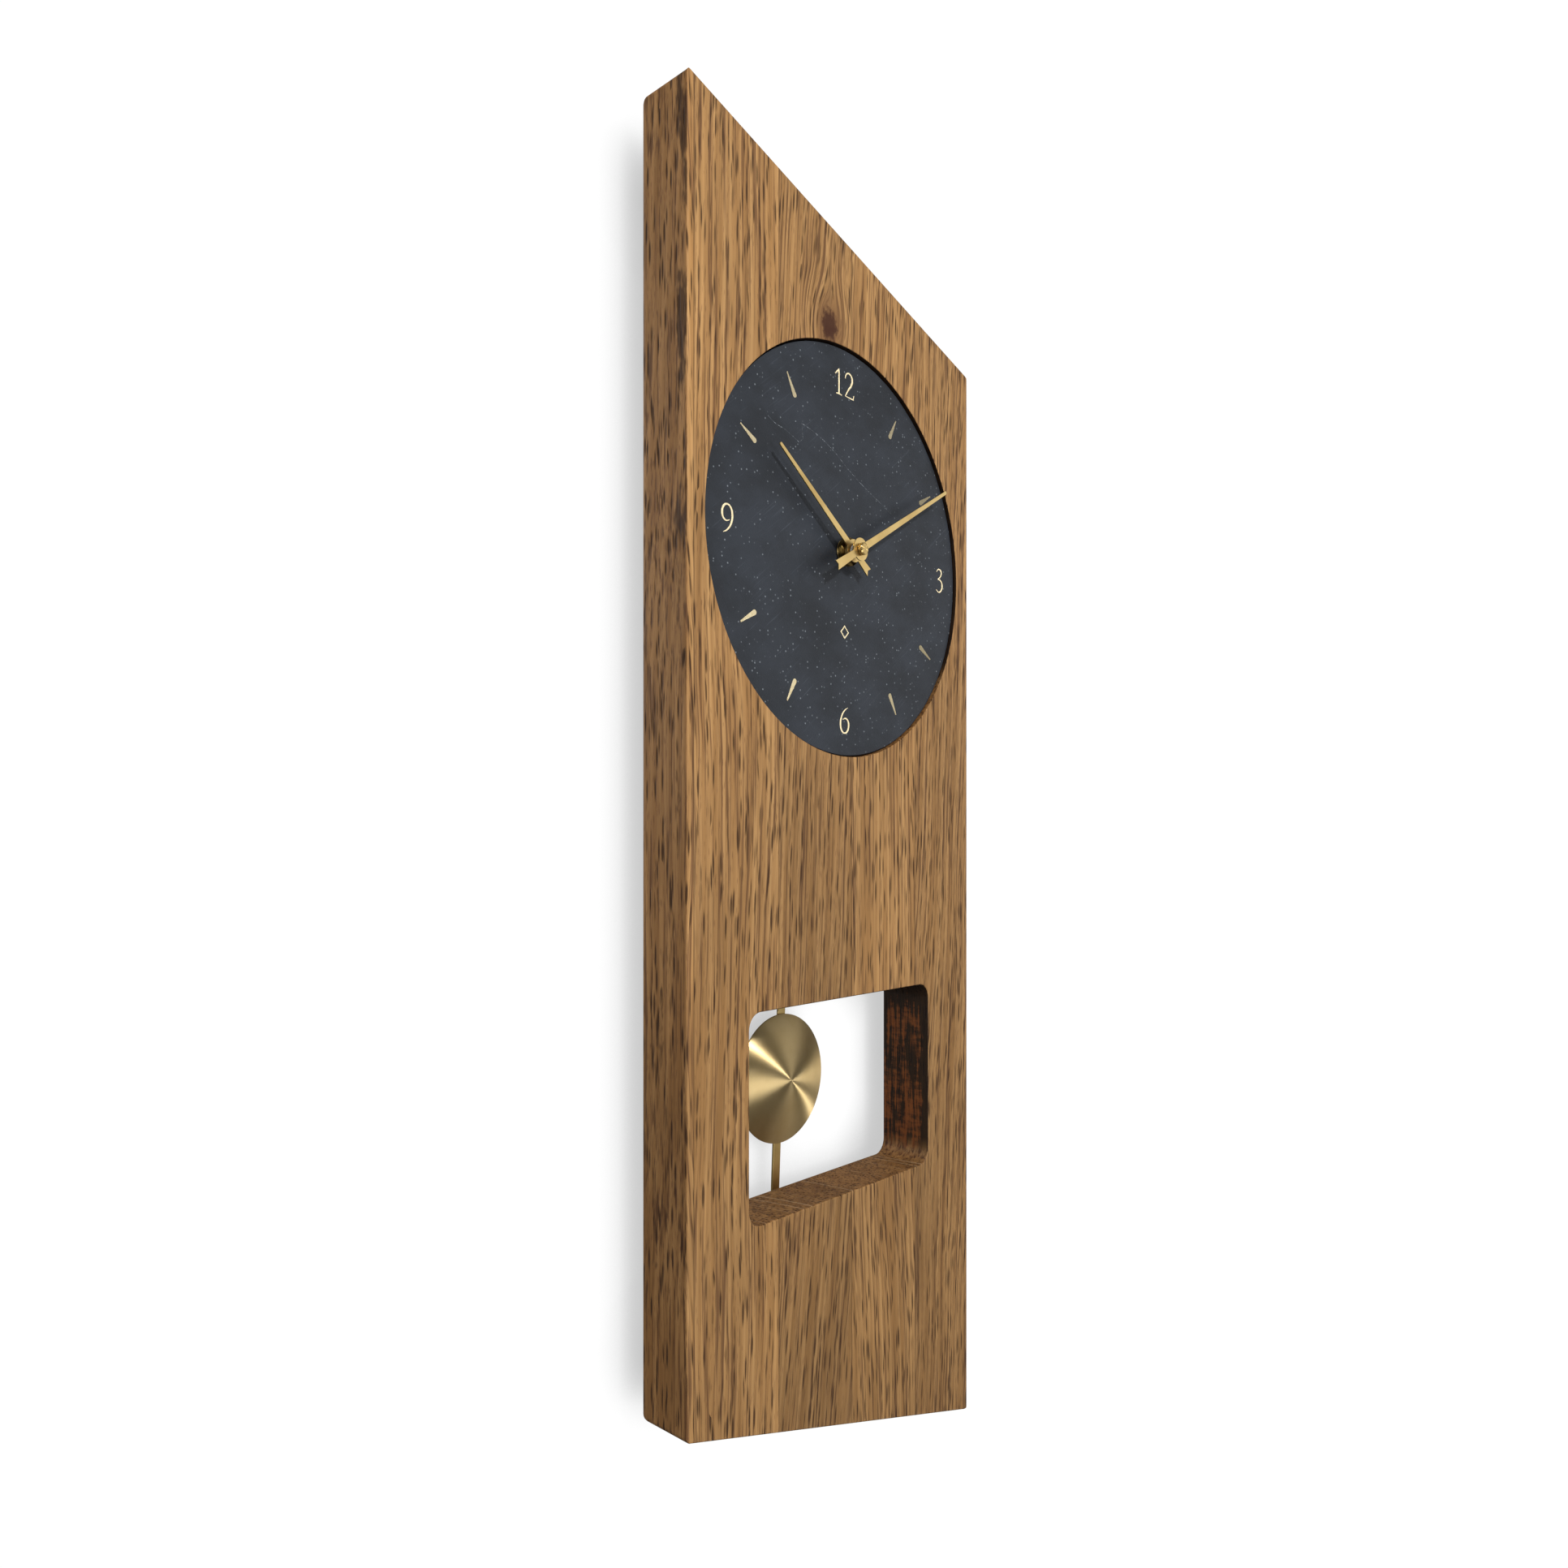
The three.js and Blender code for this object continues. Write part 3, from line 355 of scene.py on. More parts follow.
# Solid oak: the pattern runs through the board, so end grain shows on the cut edges.
oakLook = {
    "light": "bd915c", "middle": "9d7343", "dark": "68462a", "pore": "362110", "knot": "3a1a0c",
    "burntAndShade": "120702", "edge": "e6dfdc", "endGrain": "e2d6c8",
    "staveWidth": 49.8 * mm, "firstStave": -96.3 * mm, "ringSpacing": 3.1 * mm,
    "knotPlace": (-12.8 * mm, 10 * mm), "tornLow": -200 * mm, "tornHigh": -20 * mm,
    "singed": "6f3c18", "sawn": "c9ab86", "sawCentre": (-160 * mm, -60 * mm),
}


# The sides are duller, the end grain browner, and torn grain shows along the front left edge.
def markSides(tree, look, colour, place, normals):
    x, y, z = splitVector(tree, place)
    side = spanOf(tree, normals[0], 0.5, 0.8)
    ends = spanOf(tree, normals[2], 0.5, 0.8)
    colour = blendTones(tree, calc(tree, "MULTIPLY", side, 0.9), colour, tone(look["edge"]), "MULTIPLY")
    colour = blendTones(tree, calc(tree, "MULTIPLY", ends, 0.9), colour, tone(look["endGrain"]), "MULTIPLY")
    stain = noiseAt(tree, place, (150, 110, 26), 4.0, 0.65)
    nearFront = spanOf(tree, y, boardFront + 12 * mm, boardFront + 1 * mm)
    nearTop = spanOf(tree, z, look["tornLow"], look["tornHigh"], 0.25, 1.0)
    torn = calc(tree, "MULTIPLY_ADD", calc(tree, "MULTIPLY", nearFront, nearTop), 0.17, stain)
    torn = calc(tree, "MULTIPLY", side, spanOf(tree, torn, 0.62, 0.72, 0.0, 0.8))
    return blendTones(tree, torn, colour, tone(look["pore"]))


# Inside the window the wood is scorched on its sides and sawn across at the bottom.
def markWindow(tree, look, colour, place, normals):
    x, y, z = splitVector(tree, place)
    low, high = board["windowLow"], board["windowHigh"]
    fromMiddle = calc(tree, "ABSOLUTE", calc(tree, "ADD", z, -(low + high) / 2))
    wide, tall = board["windowHalf"], (high - low) / 2
    inside = calc(tree, "MULTIPLY", spanOf(tree, calc(tree, "ABSOLUTE", x), wide + 1 * mm, wide + 0.5 * mm),
                  spanOf(tree, fromMiddle, tall + 1 * mm, tall + 0.4 * mm))
    inWindow = calc(tree, "MULTIPLY", inside, spanOf(tree, normals[1], 0.85, 0.6))

    # soot gathers towards the front and the top
    soot = noiseAt(tree, place, (420, 420, 30), 4.0, 0.68)
    cross = noiseAt(tree, place, (300, 160, 420), 3.0, 0.6)
    soot = calc(tree, "ADD", soot, calc(tree, "MULTIPLY_ADD", cross, 0.35, -0.17))
    soot = calc(tree, "ADD", soot, spanOf(tree, y, boardFront + 5.5 * mm, boardFront + 0.8 * mm, 0.0, 0.3))
    soot = calc(tree, "ADD", soot, spanOf(tree, z, high - 18 * mm, high - 2 * mm, 0.0, 0.2))
    # the scorch colour here is also the colour of the painted shade in the dial's pocket
    burntAndShade = blendTones(tree, spanOf(tree, soot, 0.41, 0.57), tone(look["singed"]), tone(look["burntAndShade"]))
    scorch = calc(tree, "MULTIPLY", inWindow, spanOf(tree, z, low, low + 12 * mm))
    colour = blendTones(tree, calc(tree, "MULTIPLY", scorch, 0.93), colour, burntAndShade)

    # the saw left arcs about a point outside the window
    sawX, sawY = look["sawCentre"]
    arm = joinVector(tree, calc(tree, "SUBTRACT", x, sawX), calc(tree, "SUBTRACT", y, sawY), 0.0)
    arc = joinVector(tree, vectorCalc(tree, "LENGTH", arm), 0.0, 0.0)
    saw = spanOf(tree, noiseAt(tree, arc, (420, 1, 1), 3.0, 0.75), 0.55, 0.64, 0.0, 0.6)
    sill = calc(tree, "MULTIPLY", inWindow, spanOf(tree, normals[2], 0.5, 0.8))
    return blendTones(tree, calc(tree, "MULTIPLY", sill, saw), colour, tone(look["sawn"]))


# Painted shade: the upper wall of the dial's pocket, which faces away from the light, is painted dark.
def paintPocketShade(tree, look, colour, place):
    x, y, z = splitVector(tree, place)
    rise = calc(tree, "SUBTRACT", z, shaft.z)
    reach = vectorCalc(tree, "LENGTH", joinVector(tree, calc(tree, "SUBTRACT", x, shaft.x), 0.0, rise))
    radius, floor = board["dialRadius"], boardFront + board["dialDepth"]
    pocketShade = spanOf(tree, reach, radius + 0.3 * mm, radius + 0.1 * mm)
    pocketShade = calc(tree, "MULTIPLY", pocketShade, spanOf(tree, reach, radius - 0.7 * mm, radius - 0.3 * mm))
    pocketShade = calc(tree, "MULTIPLY", pocketShade, spanOf(tree, y, boardFront + 0.1 * mm, boardFront + 0.3 * mm))
    pocketShade = calc(tree, "MULTIPLY", pocketShade, spanOf(tree, y, floor + 0.2 * mm, floor - 0.1 * mm))
    # painted shade: the dark fades out towards the lower, lit part of the pocket wall
    upper = calc(tree, "ADD", rise, calc(tree, "MULTIPLY", x, 0.6))
    pocketShade = calc(tree, "MULTIPLY", pocketShade, spanOf(tree, upper, -12 * mm, 10 * mm))
    return blendTones(tree, calc(tree, "MULTIPLY", pocketShade, 0.95), colour, tone(look["burntAndShade"]))


def makeOak(name, look, isBoard=True):
    finish, tree, shader = newFinish(name, Roughness=0.6)
    shader.inputs["Specular IOR Level"].default_value = 0.22
    place = objectPlace(tree)
    x, y, z = splitVector(tree, place)
    normal = tree.nodes.new("ShaderNodeTexCoord").outputs["Normal"]
    normalX, normalY, normalZ = splitVector(tree, normal)

    # each stave has its own grain, from its own random numbers
    across = calc(tree, "DIVIDE", calc(tree, "SUBTRACT", x, look["firstStave"]), look["staveWidth"])
    stave = calc(tree, "FLOOR", across)
    chance = tree.nodes.new("ShaderNodeTexWhiteNoise")
    chance.noise_dimensions = "1D"
    feed(tree, chance.inputs["W"], calc(tree, "ADD", stave, 17.0))
    chanceA, chanceB, chanceC = splitVector(tree, chance.outputs["Color"])
    shift = vectorCalc(tree, "MULTIPLY", chance.outputs["Color"], (9, 9, 9))

    # grain flows round the knot
    knotX, knotZ = look["knotPlace"]
    fromKnot = joinVector(tree, calc(tree, "DIVIDE", calc(tree, "SUBTRACT", x, knotX), 1.05), 0.0,
                          calc(tree, "DIVIDE", calc(tree, "SUBTRACT", z, knotZ), 1.35))
    knotDistance = vectorCalc(tree, "LENGTH", fromKnot)
    pull = spanOf(tree, knotDistance, 0.0, 0.022, 0.8, 0.0)
    grainX = calc(tree, "SUBTRACT", x, calc(tree, "MULTIPLY", pull, calc(tree, "SUBTRACT", x, knotX)))

    # growth rings: planes that wander, with a lean of their own in each stave
    wander = noiseAt(tree, place, (9, 9, 3.2), 1.5, 0.5, shift)
    ripple = noiseAt(tree, place, (70, 70, 16), 2.0, 0.55, shift)
    lean = calc(tree, "MULTIPLY", z, calc(tree, "MULTIPLY_ADD", chanceB, 0.14, -0.09))
    ringX = calc(tree, "ADD", grainX, calc(tree, "MULTIPLY_ADD", wander, 0.034, lean))
    ringX = calc(tree, "ADD", ringX, calc(tree, "MULTIPLY", ripple, 0.0028))
    slant = calc(tree, "MULTIPLY_ADD", chanceC, 0.9, 0.35)
    ringPlace = calc(tree, "ADD", ringX, calc(tree, "MULTIPLY", y, slant))
    phase = calc(tree, "ADD", calc(tree, "DIVIDE", ringPlace, look["ringSpacing"]),
                 calc(tree, "MULTIPLY", chanceA, 31.0))
    ring = calc(tree, "FRACT", phase)
    early = calc(tree, "MULTIPLY", spanOf(tree, ring, 0.0, 0.12), spanOf(tree, ring, 0.70, 0.34))
    flow = joinVector(tree, ringX, y, z)

    # pores: short dark dashes in rows, then finer ones and long open lines between them
    dashes, dashTone = cellsAt(tree, flow, (760, 760, 82), shift)
    odds = calc(tree, "MULTIPLY_ADD", early, 0.34, splitVector(tree, dashTone)[0])
    chosen = spanOf(tree, odds, 0.50, 1.0)
    poreMask = calc(tree, "MULTIPLY", spanOf(tree, dashes, 0.58, 0.22), chosen)
    fineDashes, fineTone = cellsAt(tree, flow, (1500, 1500, 210), shift)
    fineMask = calc(tree, "MULTIPLY", spanOf(tree, fineDashes, 0.46, 0.16),
                    spanOf(tree, splitVector(tree, fineTone)[1], 0.40, 0.8))
    lines = noiseAt(tree, flow, (760, 760, 13), 3.0, 0.62, shift)
    groove = spanOf(tree, lines, 0.50, 0.64)
    broad = noiseAt(tree, flow, (210, 210, 7), 2.0, 0.55, shift)
    fibre = noiseAt(tree, flow, (2700, 2700, 60), 3.0, 0.6, shift)
    cloud = noiseAt(tree, place, (24, 24, 9), 2.0, 0.5, shift)

    colour = blendTones(tree, spanOf(tree, broad, 0.35, 0.68), tone(look["light"]), tone(look["middle"]))
    colour = blendTones(tree, calc(tree, "MULTIPLY", early, 0.5), colour, tone(look["middle"]))
    colour = blendTones(tree, calc(tree, "MULTIPLY", groove, 0.85), colour, tone(look["dark"]))
    toneAndShade = calc(tree, "MULTIPLY_ADD", cloud, 0.5, 0.62)
    toneAndShade = calc(tree, "ADD", toneAndShade, calc(tree, "MULTIPLY_ADD", chanceB, 0.24, -0.08))
    toneAndShade = calc(tree, "ADD", toneAndShade, calc(tree, "MULTIPLY_ADD", fibre, 0.5, -0.25))
    # painted shade: the wood is painted darker towards the bottom, as the light falls off; the other terms
    # are the wood's own tone
    toneAndShade = calc(tree, "ADD", toneAndShade, calc(tree, "MULTIPLY_ADD", z, 0.4, -0.01))
    colour = blendTones(tree, 1.0, colour, joinVector(tree, toneAndShade, toneAndShade, toneAndShade), "MULTIPLY")
    colour = blendTones(tree, calc(tree, "MULTIPLY", fineMask, 0.55), colour, tone(look["dark"]))
    colour = blendTones(tree, calc(tree, "MULTIPLY", poreMask, 0.9), colour, tone(look["pore"]))

    # glue lines between the staves
    fromJoint = calc(tree, "ABSOLUTE", calc(tree, "SUBTRACT", calc(tree, "FRACT", across), 0.5))
    colour = blendTones(tree, spanOf(tree, fromJoint, 0.492, 0.499, 0.0, 0.6), colour, tone(look["pore"]))

    # the knot: a dark core with a ring of swirled wood
    swirl = noiseAt(tree, place, (520, 520, 360), 3.0, 0.6)
    core = spanOf(tree, calc(tree, "MULTIPLY_ADD", swirl, 0.0075, knotDistance), 0.0102, 0.0070)
    halo = spanOf(tree, knotDistance, 0.013, 0.005, 0.0, 0.6)
    colour = blendTones(tree, halo, colour, tone(look["dark"]))
    colour = blendTones(tree, calc(tree, "MULTIPLY", core, 0.9), colour, tone(look["knot"]))

    if isBoard:
        normals = [calc(tree, "ABSOLUTE", part) for part in (normalX, normalY, normalZ)]
        colour = markSides(tree, look, colour, place, normals)
        colour = markWindow(tree, look, colour, place, normals)
        colour = paintPocketShade(tree, look, colour, place)

    feed(tree, shader.inputs["Base Color"], colour)
    relief = calc(tree, "MULTIPLY_ADD", fibre, 0.3, calc(tree, "MULTIPLY", poreMask, -1.0))
    furrows = calc(tree, "MULTIPLY_ADD", fineMask, -0.3, calc(tree, "MULTIPLY", groove, -0.4))
    relief = calc(tree, "ADD", relief, furrows)
    feed(tree, shader.inputs["Roughness"], calc(tree, "MULTIPLY_ADD", poreMask, 0.2, 0.58))
    feed(tree, shader.inputs["Normal"], bumpFrom(tree, relief, 0.00014, 0.8))
    return finish


# Honed slate: fine mica specks, long faint scratches and soft clouds.
slateLook = {"base": "272c34", "deep": "181c22", "speck": "a3abb2", "scratch": "4a515b", "vein": "8b9299"}


def makeSlate(name, look):
    finish, tree, shader = newFinish(name, Roughness=0.6)
    shader.inputs["Specular IOR Level"].default_value = 0.35
    place = objectPlace(tree)
    cloud = noiseAt(tree, place, (26, 26, 40), 4.0, 0.6)
    colour = blendTones(tree, spanOf(tree, cloud, 0.3, 0.7), tone(look["deep"]), tone(look["base"]))
    specks, speckTone = cellsAt(tree, place, (620, 620, 620))
    bright = spanOf(tree, splitVector(tree, speckTone)[0], 0.74, 0.95)
    speckMask = calc(tree, "MULTIPLY", spanOf(tree, specks, 0.30, 0.12), bright)
    colour = blendTones(tree, calc(tree, "MULTIPLY", speckMask, 0.45), colour, tone(look["speck"]))
    turn = tree.nodes.new("ShaderNodeVectorRotate")
    turn.rotation_type = "Y_AXIS"
    turn.inputs["Angle"].default_value = math.radians(38)
    feed(tree, turn.inputs["Vector"], place)
    scratch = noiseAt(tree, turn.outputs[0], (30, 30, 1500), 3.0, 0.65)
    scratchMask = calc(tree, "MULTIPLY", spanOf(tree, scratch, 0.60, 0.74), spanOf(tree, cloud, 0.4, 0.65))
    colour = blendTones(tree, calc(tree, "MULTIPLY", scratchMask, 0.75), colour, tone(look["scratch"]))
    grit = noiseAt(tree, place, (1800, 1800, 1800), 3.0, 0.6)
    feed(tree, shader.inputs["Base Color"], colour)
    feed(tree, shader.inputs["Roughness"], calc(tree, "MULTIPLY_ADD", grit, 0.25, 0.42))
    height = calc(tree, "ADD", grit, calc(tree, "MULTIPLY", cloud, 3.0))
    feed(tree, shader.inputs["Normal"], bumpFrom(tree, height, 0.00012, 0.7))
    return finish


# Brass. A spun piece is marked in rings about its own centre, a flat one in fine lines.
brassLook = {"base": "d8bb7c", "deep": "a98647", "spun": "cdb584"}


def makeBrass(name, look, centre=None, roughness=0.34, along=(30, 2400, 2400)):
    finish, tree, shader = newFinish(name, Metallic=1.0, Roughness=roughness)
    place = objectPlace(tree)
    if centre is None:
        marks = noiseAt(tree, place, along, 3.0, 0.6)
        shader.inputs["Anisotropic"].default_value = 0.3
    else:
        arm = vectorCalc(tree, "SUBTRACT", place, tuple(centre))
        armX, armY, armZ = splitVector(tree, arm)
        radius = vectorCalc(tree, "LENGTH", joinVector(tree, armX, 0.0, armZ))
        marks = noiseAt(tree, joinVector(tree, radius, calc(tree, "MULTIPLY", armY, 0.1), 0.0),
                        (5200, 5200, 1), 3.0, 0.7)
        tangent = vectorCalc(tree, "NORMALIZE", joinVector(tree, armX, 0.0, armZ))
        world = tree.nodes.new("ShaderNodeVectorTransform")
        world.vector_type = "VECTOR"
        world.convert_from = "OBJECT"
        world.convert_to = "WORLD"
        feed(tree, world.inputs[0], tangent)
        feed(tree, shader.inputs["Tangent"], world.outputs[0])
        shader.inputs["Anisotropic"].default_value = 1.0
    tarnish = noiseAt(tree, place, (60, 60, 60), 3.0, 0.55)
    dull = spanOf(tree, tarnish, 0.35, 0.75, 0.0, 0.45)
    colour = blendTones(tree, dull, tone(look["base"]), tone(look["deep"]))
    feed(tree, shader.inputs["Base Color"], colour)
    feed(tree, shader.inputs["Roughness"], calc(tree, "MULTIPLY_ADD", marks, 0.16, roughness - 0.08))
    feed(tree, shader.inputs["Normal"], bumpFrom(tree, marks, 0.00002, 0.35))
    return finish


# Raised gold paint on the dial
def makeGoldPaint(name):
    finish, tree, shader = newFinish(name, Metallic=0.15, Roughness=0.45)
    place = objectPlace(tree)
    wear = noiseAt(tree, place, (900, 900, 900), 3.0, 0.6)
    colour = blendTones(tree, spanOf(tree, wear, 0.35, 0.75, 0.0, 0.6), tone("f7e7bd"), tone("dfc489"))
    feed(tree, shader.inputs["Base Color"], colour)
    feed(tree, shader.inputs["Normal"], bumpFrom(tree, wear, 0.00003, 0.4))
    return finish


def makeSteel(name, base, roughness, along):
    finish, tree, shader = newFinish(name, Metallic=1.0, Roughness=roughness)
    place = objectPlace(tree)
    marks = noiseAt(tree, place, along, 3.0, 0.6)
    dull = noiseAt(tree, place, (140, 140, 140), 3.0, 0.6)
    colour = blendTones(tree, spanOf(tree, dull, 0.4, 0.75, 0.0, 0.5), tone(base), tone("8d8f92"))
    feed(tree, shader.inputs["Base Color"], colour)
    feed(tree, shader.inputs["Roughness"], calc(tree, "MULTIPLY_ADD", marks, 0.2, roughness - 0.1))
    feed(tree, shader.inputs["Normal"], bumpFrom(tree, marks, 0.00002, 0.3))
    return finish


# Moulded plastic, rubber, felt, laminate and winding wire share a grained surface.
def makeGrained(name, base, second, roughness, grain, depth, spread=(0.35, 0.7)):
    finish, tree, shader = newFinish(name, Roughness=roughness)
    place = objectPlace(tree)
    fine = noiseAt(tree, place, grain, 4.0, 0.6)
    patch = noiseAt(tree, place, (70, 70, 70), 3.0, 0.6)
    share = calc(tree, "ADD", calc(tree, "MULTIPLY", fine, 0.6), calc(tree, "MULTIPLY", patch, 0.4))
    colour = blendTones(tree, spanOf(tree, share, *spread), tone(base), tone(second))
    feed(tree, shader.inputs["Base Color"], colour)
    feed(tree, shader.inputs["Roughness"], calc(tree, "MULTIPLY_ADD", fine, 0.2, roughness - 0.1))
    feed(tree, shader.inputs["Normal"], bumpFrom(tree, fine, depth, 0.6))
    return finish


bobCentre = sum(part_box("pendulum_bob"), Vector()) / 2
finishes = {
    "oak": makeOak("oiledOak", oakLook),
    "slate": makeSlate("honedSlate", slateLook),
    "brass": makeBrass("satinBrass", brassLook),
    "steel": makeSteel("platedSteel", "c4c7ca", 0.36, (40, 2600, 2600)),
    "black_plastic": makeGrained("blackPlastic", "19191b", "252527", 0.5, (2600, 2600, 2600), 0.00003),
    "white_plastic": makeGrained("whitePlastic", "e6e4dc", "d5d2c6", 0.42, (1500, 1500, 1500), 0.00001),
    "rubber": makeGrained("rubber", "141414", "1e1e1e", 0.82, (900, 900, 900), 0.00005),
    "copper": makeGrained("copperWire", "b0602f", "7d3d1c", 0.35, (60, 60, 5200), 0.00006),
    "circuit": makeGrained("laminate", "1d5836", "2b7048", 0.4, (500, 500, 3200), 0.00002),
    "cell": makeGrained("cellSleeve", "3c4147", "2e3236", 0.3, (600, 600, 600), 0.00001),
    "felt": makeGrained("felt", "3b352f", "50483f", 0.95, (2200, 2200, 2200), 0.0002),
}
spunBrass = makeBrass("spunBrass", {"base": brassLook["spun"], "deep": "b39560"}, bobCentre, 0.42)
turnedBrass = makeBrass("turnedBrass", brassLook, shaft, 0.30)
# painted shade: a darker copy of the turned brass for the nut, which sits in the hands' shadow
shadedNutBrass = makeBrass("shadedNutBrass", {"base": "6f5a30", "deep": "3d2f18"}, shaft, 0.38)
brushedRod = makeBrass("brushedRod", brassLook, None, 0.36, (2400, 2400, 30))
goldPaint = makeGoldPaint("goldPaint")
# one stave, and its knot far outside the piece
plainLook = {
    **oakLook, "firstStave": -500 * mm, "staveWidth": 1000 * mm, "knotPlace": (2000 * mm, 2000 * mm),
}
darkOak = makeOak("turnedOak", plainLook, False)
print("materials made")


def makeBoard(sizes):
    low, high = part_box("oak_case")
    front, back = low.y, high.y
    top = sizes["upperLeftHeight"]
    bottom = top - sizes["sideHeight"]
    piece = newBox("oak_board", (low.x, front, bottom), (high.x, back, top))
    openEdit(piece)
    pick(piece, "VERT", lambda vert: vert.co.x > 0)
    bpy.ops.transform.translate(value=(0, 0, -sizes["drop"]))
    closeEdit()

    # one bevel rounds every edge, each by its own share of the widest
    slope = math.atan2(sizes["drop"], high.x - low.x)
    sharp, blunt = math.pi / 2 - slope, math.pi / 2 + slope
    reach = {
        "upperLeft": sizes["upperLeftRadius"] / math.tan(sharp / 2),
        "upperRight": sizes["upperRightRadius"] / math.tan(blunt / 2),
        "lowerLeft": sizes["lowerRadius"] / math.tan(blunt / 2),
        "lowerRight": sizes["lowerRadius"] / math.tan(sharp / 2),
        "front": sizes["frontEdge"],
        "back": sizes["backEdge"],
    }
    widest = max(reach.values())
    openEdit(piece)
    shape = bmesh.from_edit_mesh(piece.data)
    weight = shape.edges.layers.float.new("bevel_weight_edge")
    for edge in shape.edges:
        centre = middle(edge)
        if abs(edge.verts[0].co.y - edge.verts[1].co.y) > 1 * mm:
            upper = centre.z > (top + bottom) / 2
            name = ("upper" if upper else "lower") + ("Left" if centre.x < 0 else "Right")
        else:
            name = "front" if centre.y < (front + back) / 2 else "back"
        edge[weight] = reach[name] / widest
    bmesh.update_edit_mesh(piece.data)
    closeEdit()
    applyModifier(piece, "BEVEL", width=widest, segments=6, limit_method="WEIGHT", use_clamp_overlap=False)

    past = 2 * mm
    case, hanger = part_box("movement_housing"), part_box("hanger_plate")
    room, loose = sizes["pocketClearance"], sizes["hangerRoom"]
    half, head = sizes["windowHalf"], sizes["headHalf"]
    tools = [
        newRound("dialTool", shaft, sizes["dialRadius"], front - past, front + sizes["dialDepth"], 192),
        newPlate("windowTool", (-half, front - past, sizes["windowLow"]),
                 (half, back + past, sizes["windowHigh"]), sizes["windowRadius"], 8),
        newRound("bushTool", shaft, sizes["bushHole"], front, back, 48),
        newPlate("pocketTool", (case[0].x - room, case[0].y - sizes["pocketFloor"], case[0].z - room),
                 (case[1].x + room, back + past, case[1].z + room), sizes["pocketRadius"]),
        newPlate("hangerTool", (hanger[0].x - loose, hanger[0].y - loose, hanger[0].z - loose),
                 (hanger[1].x + loose, back + past, hanger[1].z + loose), sizes["hangerRadius"]),
        newPlate("headTool", (-head, hanger[0].y - sizes["headDepth"], -sizes["headDrop"]),
                 (head, back, head), sizes["headRadius"]),
    ]
    for number in range(1, 5):
        spacer = sum(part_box(f"wall_spacer_{number}"), Vector()) / 2
        tools.append(newRound("dowelTool", spacer, sizes["dowelHole"],
                              back - sizes["dowelDepth"], back + past, 32))
    for number in (1, 2):
        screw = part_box(f"hanger_screw_{number}")
        centre = (screw[0] + screw[1]) / 2
        tools.append(newRound("screwTool", centre, sizes["screwHole"], screw[0].y - loose, back, 16))
    cutWith(piece, *tools)

    # break the rims that the cutter left
    def onRim(edge, depth):
        if abs(edge.verts[0].co.y - depth) > 1e-5 or abs(edge.verts[1].co.y - depth) > 1e-5:
            return False
        return len(edge.link_faces) == 2 and edge.calc_face_angle(0) > 1.2

    def byDial(edge):
        fromShaft = middle(edge) - shaft
        return abs(math.hypot(fromShaft.x, fromShaft.z) - sizes["dialRadius"]) < 0.5 * mm

    def byWindow(edge):
        centre = middle(edge)
        level = sizes["windowLow"] - 1 * mm < centre.z < sizes["windowHigh"] + 1 * mm
        return level and abs(centre.x) < half + 1 * mm

    openEdit(piece)
    for depth, test, width in (
        (front, byDial, sizes["dialRim"]),
        (front, byWindow, sizes["windowRim"]),
        (back, byWindow, sizes["windowRim"]),
    ):
        pick(piece, "EDGE", lambda edge: onRim(edge, depth) and test(edge))
        bpy.ops.mesh.bevel(offset=width, segments=3, affect="EDGES", clamp_overlap=False)
    closeEdit()
    return finishPiece(piece, "case", "oak", finishes["oak"], "oak_case", angle=40)


oakBoard = makeBoard(board)
print("board made,", len(oakBoard.data.polygons), "faces")


# The slate dial and what is painted on it
dial = {
    "chip": 0.5 * mm, "paintLift": 0.12 * mm,
    "markInner": 68.2 * mm, "markOuter": 79 * mm, "markWidth": 2.2 * mm,
}


def makeSlateDial(sizes):
    low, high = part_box("slate_dial")
    radius = (high.x - low.x) / 2
    piece = newRound("slate_disc", shaft, radius, low.y, high.y, 192)
    openEdit(piece)
    pick(piece, "EDGE", lambda edge: abs(edge.verts[0].co.y - edge.verts[1].co.y) < 1e-6)
    bpy.ops.mesh.bevel(offset=sizes["chip"], segments=2, affect="EDGES")
    # the sawn edge is chipped a little, unevenly
    shape = bmesh.from_edit_mesh(piece.data)
    for vert in shape.verts:
        arm = vert.co - shaft
        reach = math.hypot(arm.x, arm.z)
        if radius - 0.1 * mm > reach > radius - 0.45 * mm and vert.co.y < (low.y + high.y) / 2:
            chip = 0.25 * mm * noise.noise(vert.co * 300)
            vert.co.x -= arm.x / reach * abs(chip)
            vert.co.z -= arm.z / reach * abs(chip)
    bmesh.update_edit_mesh(piece.data)
    closeEdit()
    cutWith(piece, newRound("bushTool", shaft, board["bushHole"], low.y - mm, high.y + mm, 48))
    return finishPiece(piece, "case", "slate", finishes["slate"], "slate_dial")


makeSlateDial(dial)
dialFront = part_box("slate_dial")[0].y


